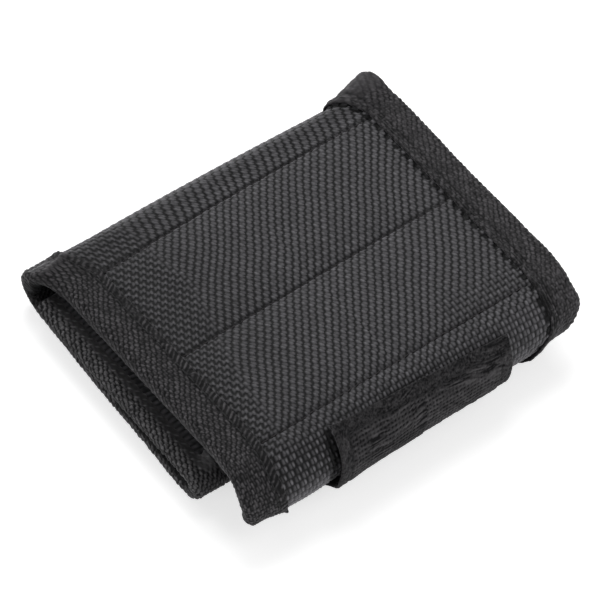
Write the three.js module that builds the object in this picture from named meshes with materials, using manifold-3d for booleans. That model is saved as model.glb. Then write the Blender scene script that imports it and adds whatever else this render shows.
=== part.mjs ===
// A magnetic wristband, rolled up flat, with its closing strap folded back and parked on the front roll.
// Millimetres, +X across the band, +Y towards the rear fold, +Z up.
import * as THREE from 'three';
import { mergeVertices } from 'three/addons/utils/BufferGeometryUtils.js';
import Module from 'manifold-3d';

// Band
const bandWidth = 90;
const shellThickness = 0.7;
const liningThickness = 0.5;
const padThickness = 1.2;
const padMargin = 0.6;
const layerGap = 0.1;
const seamGap = 0.3;

// Edge tape, folded round both long edges and over the end of the flap
const tapeThickness = 0.5;
const tapeReach = 9.5;
const tapeCorner = 1.2;
const hemReach = 6;

// Upper panel: two sewn pockets with magnets in a foam carrier
const pocketLength = 29.7;
const pocketCrown = 0.9;
const rearMargin = 5.6;
const frontMargin = 1.5;
const magnetCount = 5;
const magnetLength = 20;
const magnetWidth = 10;
const magnetThickness = 2;
const magnetClearance = 0.3;
const carrierMargin = 1.6;

// Rolls and folds
const lowerLength = 57;
const innerFlapLength = 54.8;
const foldGap = 1;
const panelGap = 0.3;
const frontRollRadius = 8;
const frontRollEnd = 172;
const padEndAngle = 30;
const frontTaper = 2.2;
const foldSkew = 2.3;
const foldShift = 3.4;
const lowerYaw = 1.2;

// Strap: loop tape with hooks on its inner face; its places on the front roll are degrees forward of the top
const strapWidth = 48;
const strapThickness = 1;
const strapTipAngle = 30;
const strapTailAngle = 84;
const strapBendAngle = 130;
const strapRootAngle = 135;
const hookThickness = 0.4;
const hookInset = 1;
const hookMarginAngle = 4;

// Loop patches: one that the strap is parked on, and one under the lower layer that it closes on
const loopThickness = 0.5;
const loopFieldLength = 44;
const loopFieldStart = 6;

// How far outside the cloth each hinge line lies
const hingeProud = 0.05;

// Facets
const arcStep = 12;
const crownSteps = 8;
const crownColumns = 8;
const cornerSteps = 3;

// Heights that follow from the layers
const tapeProud = layerGap + tapeThickness;
const panelThickness = shellThickness + padThickness + liningThickness + 2 * layerGap;
const pocketThickness = shellThickness + magnetThickness + liningThickness + 2 * layerGap;
const innerFoldRadius = panelThickness + tapeProud + foldGap / 2;
const innerRollHeight = 2 * innerFoldRadius + tapeProud;
const rearFoldRadius = (innerRollHeight + panelGap + tapeProud + pocketThickness) / 2;
const strapRadius = frontRollRadius + loopThickness + hookThickness + strapThickness + 3 * layerGap;
const panelLength = rearMargin + 2 * pocketLength + frontMargin;

// Section of the roll: the rear fold and the front roll as two circles, and the lines that touch them
const rearCentreZ = rearFoldRadius + tapeProud;
const frontCentreZ = strapRadius;
const radiusStep = frontRollRadius - rearFoldRadius;
const centreRise = frontCentreZ - rearCentreZ;
const centreDistance = Math.hypot(panelLength, radiusStep);
const centreRun = Math.sqrt(centreDistance ** 2 - centreRise ** 2);
const rearCentreY = centreRun / 2;
const frontCentreY = -centreRun / 2;
const panelTilt = Math.asin(centreRise / centreDistance) + Math.asin(radiusStep / centreDistance);

const shellHalf = bandWidth / 2 - tapeProud;
const innerHalf = bandWidth / 2 - tapeReach;
const padWidth = 2 * (innerHalf - padMargin);

function fabric(color, roughness) {
  return new THREE.MeshStandardMaterial({ color, roughness, metalness: 0 });
}

const shellMaterial = () => fabric(0x2c2c2e, 0.72);
const liningMaterial = () => fabric(0x1d1d1f, 0.9);
const foamMaterial = () => fabric(0x3a3a3a, 0.95);
const tapeMaterial = () => fabric(0x232325, 0.85);
const loopMaterial = () => fabric(0x18181a, 0.97);
const hookMaterial = () => fabric(0x141415, 0.6);
const magnetMaterial = () => new THREE.MeshStandardMaterial({ color: 0xb4b6b8, roughness: 0.28, metalness: 1 });

const radians = THREE.MathUtils.degToRad;
const band = new THREE.Group();
const wasm = await Module();
wasm.setup();

// A turned frame: yaw about Z at (x, y), then a tilt about X at (0, alongY, z)
function placeFrame(x, y, yaw, alongY, z, tilt) {
  const turned = new THREE.Group();
  turned.position.set(x, y, 0);
  turned.rotation.z = yaw;
  const tilted = new THREE.Group();
  tilted.position.set(0, alongY, z);
  tilted.rotation.x = tilt;
  turned.add(tilted);
  band.add(turned);
  return tilted;
}

function addMesh(frame, name, geometry, material) {
  const mesh = new THREE.Mesh(geometry, material);
  mesh.name = name;
  frame.add(mesh);
}

// One place on the band's outer skin, with the direction that points out of the roll
function station(y, z, outY, outZ, skew = 0, shift = 0) {
  return { y, z, outY, outZ, skew, shift };
}

// A flat run from one distance forward to another
function flatRun(from, to, z = 0, out = 1) {
  return [station(-from, z, 0, out), station(-to, z, 0, out)];
}

// Stations along an arc, from one angle to another, measured from straight up towards +Y
function arcRun(radius, from, to, centreY = 0, centreZ = 0, outward = 1) {
  const steps = Math.max(2, Math.ceil(Math.abs(to - from) / radians(arcStep)));
  return Array.from({ length: steps + 1 }, (_, i) => {
    const angle = from + ((to - from) * i) / steps;
    const y = Math.sin(angle);
    const z = Math.cos(angle);
    return station(centreY + radius * y, centreZ + radius * z, outward * y, outward * z);
  });
}

function isClockwise(points) {
  return THREE.ShapeUtils.area(points) < 0;
}

// A closed solid whose section, [across, out] points, is carried along the stations
function sweep(stations, sectionAt) {
  const sections = stations.map((place, i) => sectionAt(place, i));
  const count = sections[0].length;
  const positions = [];
  stations.forEach((place, i) => {
    for (const [across, out] of sections[i]) {
      const y = place.y + place.outY * out + place.skew * across;
      positions.push(across + place.shift, y, place.z + place.outZ * out);
    }
  });
  const triangles = [];
  const addCap = (ring, reversed) => {
    const outline = sections[ring].map(([across, out]) => new THREE.Vector2(across, out));
    const turn = isClockwise(outline) !== reversed;
    for (const face of THREE.ShapeUtils.triangulateShape(outline, [])) {
      const clockwise = isClockwise(face.map((k) => outline[k]));
      const [a, b, c] = face.map((k) => ring * count + k);
      triangles.push(...(clockwise === turn ? [a, b, c] : [a, c, b]));
    }
  };
  addCap(0, true);
  addCap(stations.length - 1, false);
  for (let i = 0; i + 1 < stations.length; i += 1) {
    for (let j = 0; j < count; j += 1) {
      const next = (j + 1) % count;
      const [a, b] = [i * count + j, i * count + next];
      triangles.push(a, b, b + count, a, b + count, a + count);
    }
  }
  return solid(positions, triangles);
}

function signedVolume(positions, triangles) {
  const corner = (k) => new THREE.Vector3(...positions.slice(3 * k, 3 * k + 3));
  let volume = 0;
  for (let i = 0; i < triangles.length; i += 3) {
    const [a, b, c] = triangles.slice(i, i + 3).map(corner);
    volume += a.dot(b.cross(c)) / 6;
  }
  return volume;
}

function solid(positions, triangles) {
  if (signedVolume(positions, triangles) < 0) triangles.reverse();
  const geometry = new THREE.BufferGeometry();
  geometry.setAttribute('position', new THREE.Float32BufferAttribute(positions, 3));
  geometry.setIndex(triangles);
  return geometry;
}

// A sheet or pad of even thickness between two depths under the outer skin
function layerSection(width, top, thickness) {
  const half = width / 2;
  const bottom = top - thickness;
  return [[-half, top], [half, top], [half, bottom], [-half, bottom]];
}

// Tape folded round a long edge of a layer of cloth, its outer corners rounded
function tapeSection(side, thickness, narrower = 0) {
  const edge = bandWidth / 2 - narrower;
  const inner = edge - tapeReach;
  const top = tapeProud;
  const bottom = -thickness - tapeProud;
  const corner = (centreOut, from) => Array.from({ length: cornerSteps + 1 }, (_, i) => {
    const angle = from - radians(90 * i / cornerSteps);
    return [edge - tapeCorner + tapeCorner * Math.cos(angle), centreOut + tapeCorner * Math.sin(angle)];
  });
  const outline = [
    [inner, top],
    ...corner(top - tapeCorner, radians(90)),
    ...corner(bottom + tapeCorner, 0),
    [inner, bottom],
    [inner, bottom + tapeThickness],
    [edge - tapeThickness, bottom + tapeThickness],
    [edge - tapeThickness, top - tapeThickness],
    [inner, top - tapeThickness],
  ];
  return outline.map(([across, out]) => [side * across, out]);
}

// The band keeps its width, unless a taper draws each edge in by so much at its far end
const straight = () => 0;

function addTapes(frame, name, stations, thickness, taper = straight) {
  for (const [label, side] of [['left', -1], ['right', 1]]) {
    const geometry = sweep(stations, (_, i) => tapeSection(side, thickness, taper(i)));
    addMesh(frame, `binding_${label}_${name}`, geometry, tapeMaterial());
  }
}

function addShell(frame, name, stations, taper = straight) {
  const section = (_, i) => layerSection(2 * (shellHalf - taper(i)), 0, shellThickness);
  addMesh(frame, `shell_${name}`, sweep(stations, section), shellMaterial());
}

function addLining(frame, name, stations, thickness, taper = straight) {
  const top = liningThickness - thickness;
  const section = (_, i) => layerSection(2 * (shellHalf - taper(i)), top, liningThickness);
  addMesh(frame, `lining_${name}`, sweep(stations, section), liningMaterial());
}

function addPad(frame, name, stations, narrower = 0) {
  const section = layerSection(padWidth - 2 * narrower, -shellThickness - layerGap, padThickness);
  addMesh(frame, `pad_${name}`, sweep(stations, () => section), foamMaterial());
}

// Inner roll: the lower layer, the tight fold at its front and the flap tucked back on top of it
const lowerFrame = placeFrame(-foldShift, rearCentreY, -radians(lowerYaw), 0, tapeProud, 0);
const flapEnd = lowerLength - innerFlapLength;
const flapZ = 2 * innerFoldRadius;
const noseAngles = [radians(180), radians(360)];
const noseRun = arcRun(innerFoldRadius, ...noseAngles, -lowerLength, innerFoldRadius);

function addInnerRoll() {
  const halfGap = seamGap / 2;
  const rearEnd = station(-halfGap, 0, 0, -1, Math.tan(radians(lowerYaw - foldSkew)));
  const lowerRun = [rearEnd, station(halfGap - lowerLength, 0, 0, -1)];
  const flapRun = flatRun(lowerLength - halfGap, flapEnd, flapZ, 1);
  addShell(lowerFrame, 'lower', lowerRun);
  addShell(lowerFrame, 'inner_fold', noseRun);
  addShell(lowerFrame, 'inner_flap', flapRun);
  addLining(lowerFrame, 'lower', lowerRun, panelThickness);
  addLining(lowerFrame, 'inner_fold', noseRun, panelThickness);
  addLining(lowerFrame, 'inner_flap', flapRun, panelThickness);
  addPad(lowerFrame, 'lower', flatRun(hemReach, lowerLength - halfGap, 0, -1));
  addPad(lowerFrame, 'inner_flap', flatRun(lowerLength - halfGap, flapEnd + hemReach, flapZ, 1));
  const flapTip = station(-flapEnd, flapZ, 0, 1);
  addTapes(lowerFrame, 'inner_roll', [rearEnd, ...noseRun, flapTip], panelThickness);
  addFlapHem(flapTip);
  addLoopPatch(lowerFrame, 'lower', flatRun(loopFieldStart, loopFieldStart + loopFieldLength, 0, -1));
}

function addLoopPatch(frame, name, stations) {
  const section = layerSection(strapWidth, layerGap + loopThickness, loopThickness);
  addMesh(frame, `loop_patch_${name}`, sweep(stations, () => section), loopMaterial());
}

// Tape folded over the end of the flap, between the two long edges
function addFlapHem(end) {
  const half = innerHalf - seamGap;
  const depth = panelThickness + tapeProud;
  const points = [
    [-hemReach, tapeProud],
    [tapeProud, tapeProud],
    [tapeProud, -depth],
    [-hemReach, -depth],
    [-hemReach, -depth + tapeThickness],
    [layerGap, -depth + tapeThickness],
    [layerGap, layerGap],
    [-hemReach, layerGap],
  ];
  const outline = new THREE.Shape(points.map(([along, out]) => new THREE.Vector2(along + end.y, out + end.z)));
  const extruded = new THREE.ExtrudeGeometry(outline, { depth: 2 * half, bevelEnabled: false });
  extruded.rotateY(radians(90)).rotateX(radians(90)).translate(-half, 0, 0);
  addMesh(lowerFrame, 'end_hem_inner_flap', extruded, tapeMaterial());
}

// Rear fold: two links, which meet at the back
const foldFrame = placeFrame(-foldShift, rearCentreY, -radians(foldSkew), 0, rearCentreZ, 0);
const foldTop = panelTilt;
const foldBottom = Math.PI;
const foldMiddle = (foldTop + foldBottom) / 2;

function addRearFold() {
  const trim = seamGap / 2 / rearFoldRadius;
  const links = [
    ['rear_fold_lower', foldMiddle, foldBottom],
    ['rear_fold_upper', foldTop, foldMiddle],
  ];
  for (const [name, from, to] of links) {
    const run = arcRun(rearFoldRadius, from + trim, to - trim);
    addShell(foldFrame, name, run);
    addLining(foldFrame, name, run, panelThickness);
    addTapes(foldFrame, name, run, panelThickness);
  }
}

// Upper panel, with the rear pocket behind the middle seam and the front pocket before it
const panelFrame = placeFrame(
  0,
  rearCentreY,
  0,
  rearFoldRadius * Math.sin(panelTilt),
  rearCentreZ + rearFoldRadius * Math.cos(panelTilt),
  -panelTilt,
);
const middleSeam = rearMargin + pocketLength;
const frontSeam = middleSeam + pocketLength;
const panelRear = station(-seamGap / 2, 0, 0, 1, -Math.tan(radians(foldSkew)), -foldShift);

// How far the outer cloth of a pocket stands up, between its seams and between the edge tapes
function crownAt(along, across) {
  const u = 2 * along / pocketLength - 1;
  const v = Math.min(1, Math.abs(across) / innerHalf);
  return pocketCrown * (1 - u ** 4) * (1 - v ** 4);
}

// Section of the outer cloth of a pocket
function crownedSection(along) {
  const columns = Array.from({ length: crownColumns + 1 }, (_, i) => innerHalf * (2 * i / crownColumns - 1));
  const across = [-shellHalf, ...columns, shellHalf];
  const upper = across.map((x) => [x, crownAt(along, x)]);
  const lower = across.map((x) => [x, crownAt(along, x) - shellThickness]);
  return [...upper, ...lower.reverse()];
}

function addPocketShell(name, start, leadIn) {
  const halfGap = seamGap / 2;
  const alongs = Array.from({ length: crownSteps + 1 }, (_, i) => {
    const along = pocketLength * i / crownSteps;
    return THREE.MathUtils.clamp(along, leadIn ? 0 : halfGap, pocketLength - halfGap);
  });
  const stations = alongs.map((along) => station(-start - along, 0, 0, 1));
  if (leadIn) {
    stations.unshift(panelRear);
    alongs.unshift(0);
  }
  const geometry = sweep(stations, (_, i) => crownedSection(alongs[i]));
  addMesh(panelFrame, `shell_${name}`, geometry, shellMaterial());
}

// Foam sheet with a window for each magnet, and the magnets in it
function addCarrier(name, start) {
  const length = pocketLength - 2 * carrierMargin;
  const centreY = -start - pocketLength / 2;
  const floor = liningThickness + layerGap - pocketThickness;
  const windowWidth = magnetWidth + 2 * magnetClearance;
  const windowLength = magnetLength + 2 * magnetClearance;
  const pitch = padWidth / magnetCount;
  const centres = Array.from({ length: magnetCount }, (_, i) => pitch * (i - (magnetCount - 1) / 2));
  const sheet = block(padWidth, length, magnetThickness, 0, centreY, floor);
  const windows = centres.map((x) => block(windowWidth, windowLength, 2 * pocketThickness, x, centreY, floor));
  addMesh(panelFrame, `magnet_carrier_${name}`, cutAway(sheet, windows), foamMaterial());
  centres.forEach((x, i) => {
    const magnet = block(magnetWidth, magnetLength, magnetThickness, x, centreY, floor);
    addMesh(panelFrame, `magnet_${name}_${i + 1}`, magnet, magnetMaterial());
  });
}

// A box about (x, y), centred on the height at the middle of a magnet that lies on the floor of its pocket
function block(width, length, height, x, y, floor) {
  return new THREE.BoxGeometry(width, length, height).translate(x, y, floor + magnetThickness / 2);
}

function toManifold(geometry) {
  const bare = geometry.clone();
  bare.deleteAttribute('normal');
  bare.deleteAttribute('uv');
  const merged = mergeVertices(bare);
  const vertProperties = new Float32Array(merged.attributes.position.array);
  const triVerts = new Uint32Array(merged.index.array);
  return new wasm.Manifold(new wasm.Mesh({ numProp: 3, vertProperties, triVerts }));
}

function cutAway(geometry, cutters) {
  const cut = cutters.reduce((body, cutter) => body.subtract(toManifold(cutter)), toManifold(geometry));
  const { vertProperties, triVerts } = cut.getMesh();
  return solid(Array.from(vertProperties), Array.from(triVerts));
}

function addUpperPanel() {
  const halfGap = seamGap / 2;
  addPocketShell('pocket_rear', rearMargin, true);
  addPocketShell('pocket_front', middleSeam, false);
  const rearRun = [panelRear, ...flatRun(rearMargin, middleSeam - halfGap)];
  addLining(panelFrame, 'pocket_rear', rearRun, pocketThickness);
  addLining(panelFrame, 'pocket_front', flatRun(middleSeam + halfGap, frontSeam - halfGap), pocketThickness);
  addCarrier('rear', rearMargin);
  addCarrier('front', middleSeam);
  const tapeRun = [panelRear, ...flatRun(rearMargin, frontSeam - halfGap)];
  addTapes(panelFrame, 'upper_panel', tapeRun, pocketThickness);
}

// Front roll: the outer end of the band, curled down over the nose of the inner roll
const frontFrame = placeFrame(0, frontCentreY, 0, 0, frontCentreZ, 0);

function addFrontRoll() {
  const angles = [panelTilt, -radians(frontRollEnd)];
  const curl = arcRun(frontRollRadius, ...angles);
  const back = frontMargin - seamGap / 2;
  const lead = station(
    curl[0].y + back * Math.cos(panelTilt),
    curl[0].z - back * Math.sin(panelTilt),
    curl[0].outY,
    curl[0].outZ,
  );
  const run = [lead, ...curl];
  const taper = (i) => frontTaper * i / (run.length - 1);
  addShell(frontFrame, 'front_roll', run, taper);
  addLining(frontFrame, 'front_roll', run, panelThickness, taper);
  const padRun = arcRun(frontRollRadius, panelTilt, radians(padEndAngle - frontRollEnd));
  addPad(frontFrame, 'front_roll', padRun, frontTaper);
  addTapes(frontFrame, 'front_roll', run, panelThickness, taper);
}

// Strap: sewn inside the end of the front roll, folded round it and parked on its outer face
function addStrap() {
  const section = layerSection(strapWidth, 0, strapThickness);
  const trim = seamGap / 2 / strapRadius;
  const margin = radians(hookMarginAngle);
  const places = [strapTipAngle, strapTailAngle, strapBendAngle, frontRollEnd, strapRootAngle];
  const [tip, tail, bend, end, root] = places.map((angle) => -radians(angle));
  const insideRadius = frontRollRadius - panelThickness - layerGap - strapThickness;
  const foldRadius = (strapRadius - insideRadius) / 2;
  const foldReach = (strapRadius + insideRadius) / 2;
  const foldRun = arcRun(foldRadius, end, end - Math.PI, foldReach * Math.sin(end), foldReach * Math.cos(end));
  const rootRun = [
    ...arcRun(strapRadius, bend - trim, end),
    ...foldRun.slice(1, -1),
    ...arcRun(insideRadius, end, root, 0, 0, -1),
  ];
  const bendRun = arcRun(strapRadius, tail - trim, bend + trim);
  const tailRun = arcRun(strapRadius, tip, tail + trim);
  addMesh(frontFrame, 'strap_root', sweep(rootRun, () => section), loopMaterial());
  addMesh(frontFrame, 'strap_bend', sweep(bendRun, () => section), loopMaterial());
  addMesh(frontFrame, 'strap_tail', sweep(tailRun, () => section), loopMaterial());
  addHooks('bend', tail - trim, bend + margin);
  addHooks('tail', tip - margin, tail + trim);
  addLoopPatch(frontFrame, 'front_roll', arcRun(frontRollRadius, tip - margin, bend + margin));
}

function addHooks(name, from, to) {
  const section = layerSection(strapWidth - 2 * hookInset, 0, hookThickness);
  const run = arcRun(strapRadius - strapThickness - layerGap, from, to);
  addMesh(frontFrame, `hook_patch_${name}`, sweep(run, () => section), hookMaterial());
}

addInnerRoll();
addRearFold();
addUpperPanel();
addFrontRoll();
addStrap();

// The origin is under the middle of the roll, on the surface that it rests on
const reach = new THREE.Box3().setFromObject(band);
const middle = reach.getCenter(new THREE.Vector3());
band.position.set(-middle.x, -middle.y, -reach.min.z);
band.updateMatrixWorld(true);

// Hinge lines: a point, and the side to which the axis points, so that a positive turn opens or peels
function hingeLine(frame, y, z, side) {
  const point = frame.localToWorld(new THREE.Vector3(0, y, z));
  const direction = new THREE.Vector3(side, 0, 0).transformDirection(frame.matrixWorld);
  return { point: point.toArray(), direction: direction.toArray() };
}

function hingeOnArc(frame, radius, angle, side) {
  return hingeLine(frame, radius * Math.sin(angle), radius * Math.cos(angle), side);
}

const foldSkin = rearFoldRadius + tapeProud + hingeProud;
const strapSkin = strapRadius + hingeProud;
band.userData.hinges = {
  band_open: hingeOnArc(foldFrame, foldSkin, foldBottom, -1),
  fold_follow_rear: hingeOnArc(foldFrame, foldSkin, foldMiddle, -1),
  fold_follow_top: hingeOnArc(foldFrame, foldSkin, foldTop, -1),
  front_lift: hingeLine(panelFrame, -frontSeam, tapeProud + hingeProud, -1),
  strap_peel: hingeOnArc(frontFrame, strapSkin, -radians(strapBendAngle), 1),
  strap_follow: hingeOnArc(frontFrame, strapSkin, -radians(strapTailAngle), 1),
};

export default band;
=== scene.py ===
"""Looks of the magnetic wristband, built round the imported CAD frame.

Lengths are in millimetres until a mesh is made. A place on the band is u across it, s along it and h out
from the plain skin of its outer cloth.
"""

import math
from types import SimpleNamespace

import bpy
import numpy as np
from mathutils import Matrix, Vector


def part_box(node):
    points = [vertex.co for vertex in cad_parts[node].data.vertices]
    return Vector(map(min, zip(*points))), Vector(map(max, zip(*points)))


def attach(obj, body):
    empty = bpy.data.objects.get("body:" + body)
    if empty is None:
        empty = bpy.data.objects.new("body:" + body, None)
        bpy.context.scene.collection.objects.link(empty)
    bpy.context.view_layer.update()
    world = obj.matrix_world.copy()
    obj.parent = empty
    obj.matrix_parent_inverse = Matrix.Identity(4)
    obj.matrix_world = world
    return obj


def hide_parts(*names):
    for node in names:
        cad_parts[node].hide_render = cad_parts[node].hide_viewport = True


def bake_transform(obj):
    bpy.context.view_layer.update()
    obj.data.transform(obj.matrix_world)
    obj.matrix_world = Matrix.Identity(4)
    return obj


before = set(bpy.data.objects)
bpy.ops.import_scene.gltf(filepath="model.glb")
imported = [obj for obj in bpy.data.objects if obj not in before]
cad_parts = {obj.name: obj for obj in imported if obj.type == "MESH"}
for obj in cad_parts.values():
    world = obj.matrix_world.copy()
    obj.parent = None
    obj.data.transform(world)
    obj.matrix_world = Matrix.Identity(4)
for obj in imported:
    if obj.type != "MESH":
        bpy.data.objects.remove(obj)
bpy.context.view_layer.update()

MM = 0.001
RAD = math.pi / 180
TURN = 2 * math.pi
SIDES = ((-1, "left"), (1, "right"))

# Profile of the band, as in the CAD
PIVOT_Y = 34.0226
FLAP_END_Y, NOSE_Y = -2.2, -57.0
LOWER_Z, NOSE_R = 0.6, 3.7
FOLD_Z, FOLD_R = 6.75, 6.15
TILT = 4.566 * RAD
PANEL_LENGTH = 66.5
FRONT_Y, FRONT_Z, FRONT_R, FRONT_END = -66.4362, 10.2, 8.0, 172 * RAD
LOWER_YAW, FOLD_YAW = -1.2 * RAD, -2.3 * RAD
LOWER_X, PANEL_X = -1.0633, 2.3367

# Where each stretch begins along the band, from the flap's end to the front roll's end
S_NOSE = FLAP_END_Y - NOSE_Y
S_LOWER = S_NOSE + math.pi * NOSE_R
S_FOLD = S_LOWER - NOSE_Y
S_PANEL = S_FOLD + FOLD_R * (math.pi - TILT)
S_FRONT = S_PANEL + PANEL_LENGTH
S_END = S_FRONT + FRONT_R * (TILT + FRONT_END)

# Widths and layers: the cloth's cut edge lies inside the tapes, whose right rim is the narrower one
HALF, INNER_HALF = 45.0, 35.5
CUT_HALF = HALF - 0.8
RIGHT_RIM = 1.15
STACK, POCKET_STACK, TAPE_PROUD = 2.6, 3.4, 0.6

# Sewn lines across the panel, from its rear end
SEAM_REAR, SEAM_MIDDLE, SEAM_FRONT = 5.6, 35.3, 65.0
SEAM_DEPTHS, SEAM_WIDTH = (0.42, 0.30, 0.30), 0.45

# Soft forms that the photo shows and the CAD leaves plain
FRONT_SLIDE = 1.8
FLAP_MORE, FLAP_SKEW, FLAP_DROP = 1.6, 1.5, 0.8
CROWN, FOLD_BOW, CORNER_FLARE = 0.9, 0.55, 0.9
HOOD_PULL, FRONT_PULL = 2.2, 3.4
LEFT_SWELLS = ((98, 20, 0.35), (70, 8, 0.3), (S_FOLD + 9.6, 5, 0.45))

# The strap on the front roll
STRAP_HALF, STRAP_R, STRAP_NARROW = 24.0, 10.2, 0.967

# Where the cloth is parted into pieces, each piece lying across one joint
S_LOW_SPLIT = S_FOLD - 30
S_FOLD_LOW = S_FOLD + FOLD_R * 40 * RAD
S_FOLD_HIGH = S_FOLD + FOLD_R * 136 * RAD
S_MID = S_PANEL + SEAM_MIDDLE


def fold_at(along):
    """A point on the rear fold's own line, at a distance behind its pivot."""
    return (LOWER_X - along * math.sin(FOLD_YAW), PIVOT_Y + along * math.cos(FOLD_YAW), 0)


# Each joint that cloth lies across: the two bodies, and where the bend begins and ends
LOW_JOINT = ("inner_roll", "rear_fold_lower", fold_at(-1.6), fold_at(1.85))
FOLD_JOINT = ("rear_fold_lower", "rear_fold_upper", (0, 0, 4.6), (0, 0, 8.4))
PANEL_JOINT = ("rear_fold_upper", "upper_panel", fold_at(2.0), fold_at(-1.4))
FRONT_JOINT = ("upper_panel", "front_roll", (0, -28.8, 0), (0, -31.8, 0))
RUNS = (
    ("inner_roll", -FLAP_MORE, S_LOW_SPLIT, ("inner_roll",)),
    ("rear_low", S_LOW_SPLIT, S_FOLD_LOW, LOW_JOINT),
    ("rear_fold", S_FOLD_LOW, S_FOLD_HIGH, FOLD_JOINT),
    ("pocket_rear", S_FOLD_HIGH, S_MID, PANEL_JOINT),
    ("front", S_MID, S_END, FRONT_JOINT),
)
SEEN_RUNS = ("rear_fold", "pocket_rear", "front")
CLOTH_NODES = {
    "inner_roll": ("lower", "inner_fold", "inner_flap"),
    "rear_low": ("rear_fold_lower",),
    "rear_fold": ("rear_fold_upper",),
    "pocket_rear": ("pocket_rear",),
    "front": ("pocket_front", "front_roll"),
}
TAPE_NODES = {
    "inner_roll": "inner_roll",
    "rear_low": "rear_fold_lower",
    "rear_fold": "rear_fold_upper",
    "pocket_rear": "upper_panel",
    "front": "front_roll",
}


# Curves and fields

def step(x, a, b):
    """Smooth rise from 0 at a to 1 at b."""
    t = np.clip((np.asarray(x, float) - a) / (b - a), 0, 1)
    return t * t * (3 - 2 * t)


def between(x, a, b, c, d):
    """Smooth rise from a to b, and smooth fall from c to d."""
    return step(x, a, b) * (1 - step(x, c, d))


def bump(x, centre, width):
    """Bell of height 1."""
    return np.exp(-((np.asarray(x, float) - centre) / width) ** 2)


def ripple(x, pitch):
    """Cosine wave."""
    return np.cos(TURN * x / pitch)


def mix(a, b, share):
    """From a where the share is 0 to b where it is 1."""
    return a * (1 - share) + b * share


def rounded(inside, radius):
    """Rise from 0 at an edge to 1 at a radius inside it, along a quarter circle."""
    return np.sqrt(np.clip(1 - (1 - np.clip(inside / radius, 0, 1)) ** 2, 0, 1))


def spaced(a, b, pitch):
    """Even stops from a to b, about a pitch apart."""
    return np.linspace(a, b, max(2, int(round((b - a) / pitch)) + 1))


def grid(rows, columns):
    """Both values at every crossing of rows and columns."""
    return np.meshgrid(rows, columns, indexing="ij")


def noise(x, y, cell, seed):
    """Smooth value noise from -1 to 1."""
    table = np.random.default_rng(seed).uniform(-1, 1, (257, 257))
    fx, fy = x / cell, y / cell
    ix, iy = np.floor(fx).astype(int), np.floor(fy).astype(int)
    tx, ty = fx - ix, fy - iy
    tx, ty = tx * tx * (3 - 2 * tx), ty * ty * (3 - 2 * ty)
    ix, iy = ix % 256, iy % 256
    top = mix(table[ix, iy], table[ix + 1, iy], tx)
    low = mix(table[ix, iy + 1], table[ix + 1, iy + 1], tx)
    return mix(top, low, ty)


def crisp(t, amount):
    """The same field with its fine detail drawn harder."""
    near = (np.roll(t, 2, 0) + np.roll(t, -2, 0) + np.roll(t, 2, 1) + np.roll(t, -2, 1)) / 4
    return t + amount * (t - near)


# Shape of the band

def flap_end(s):
    """From 0 at the inner roll's nose to 1 at the flap's end."""
    return np.clip(1 - s / S_NOSE, 0, 1.03)


def fold_angle(s):
    """Angle round the rear fold from straight up, in degrees."""
    return (math.pi - (s - S_FOLD) / FOLD_R) / RAD


def roll_angle(s):
    """Angle round the front roll from straight up, in radians."""
    return (s - S_FRONT) / FRONT_R - TILT


def along_roll(angle):
    """Distance along at an angle round the front roll."""
    return S_FRONT + FRONT_R * (TILT + angle)


def roll_share(s):
    """From 0 at the front roll's start to 1 at its end."""
    return (s - S_FRONT) / (S_END - S_FRONT)


def on_arc(angle, radius, y, z):
    """Place and outward normal on a round stretch."""
    return y + radius * np.sin(angle), z + radius * np.cos(angle), np.sin(angle), np.cos(angle)


def on_flap(s):
    return FLAP_END_Y - s, LOWER_Z + 2 * NOSE_R - FLAP_DROP * flap_end(s), 0, 1


def on_nose(s):
    return on_arc((S_NOSE - s) / NOSE_R, NOSE_R, NOSE_Y, LOWER_Z + NOSE_R)


def on_lower(s):
    return NOSE_Y + s - S_LOWER, LOWER_Z, 0, -1


def on_fold(s):
    return on_arc(math.pi - (s - S_FOLD) / FOLD_R, FOLD_R, 0, FOLD_Z)


def on_panel(s):
    d = s - S_PANEL
    foot_y, foot_z = FOLD_R * math.sin(TILT), FOLD_Z + FOLD_R * math.cos(TILT)
    return foot_y - d * math.cos(TILT), foot_z + d * math.sin(TILT), math.sin(TILT), math.cos(TILT)


def on_front(s):
    return on_arc(TILT - (s - S_FRONT) / FRONT_R, FRONT_R, FRONT_Y, FRONT_Z)


STRETCHES = (
    (-math.inf, S_NOSE, on_flap),
    (S_NOSE, S_LOWER, on_nose),
    (S_LOWER, S_FOLD, on_lower),
    (S_FOLD, S_PANEL, on_fold),
    (S_PANEL, S_FRONT, on_panel),
    (S_FRONT, math.inf, on_front),
)


def profile(s):
    """Place, outward normal, yaw and side shift of the plain skin."""
    y, z, ny, nz = (np.zeros_like(s) for _ in range(4))
    for first, last, stretch in STRETCHES:
        m = (s >= first) & (s < last)
        y[m], z[m], ny[m], nz[m] = stretch(s[m])
    over = step(s, S_PANEL - 5, S_PANEL + SEAM_REAR)
    yaw = LOWER_YAW + (FOLD_YAW - LOWER_YAW) * step(s, S_FOLD - 8, S_FOLD + 4) - FOLD_YAW * over
    return y, z, ny, nz, yaw, LOWER_X + (PANEL_X - LOWER_X) * over


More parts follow.
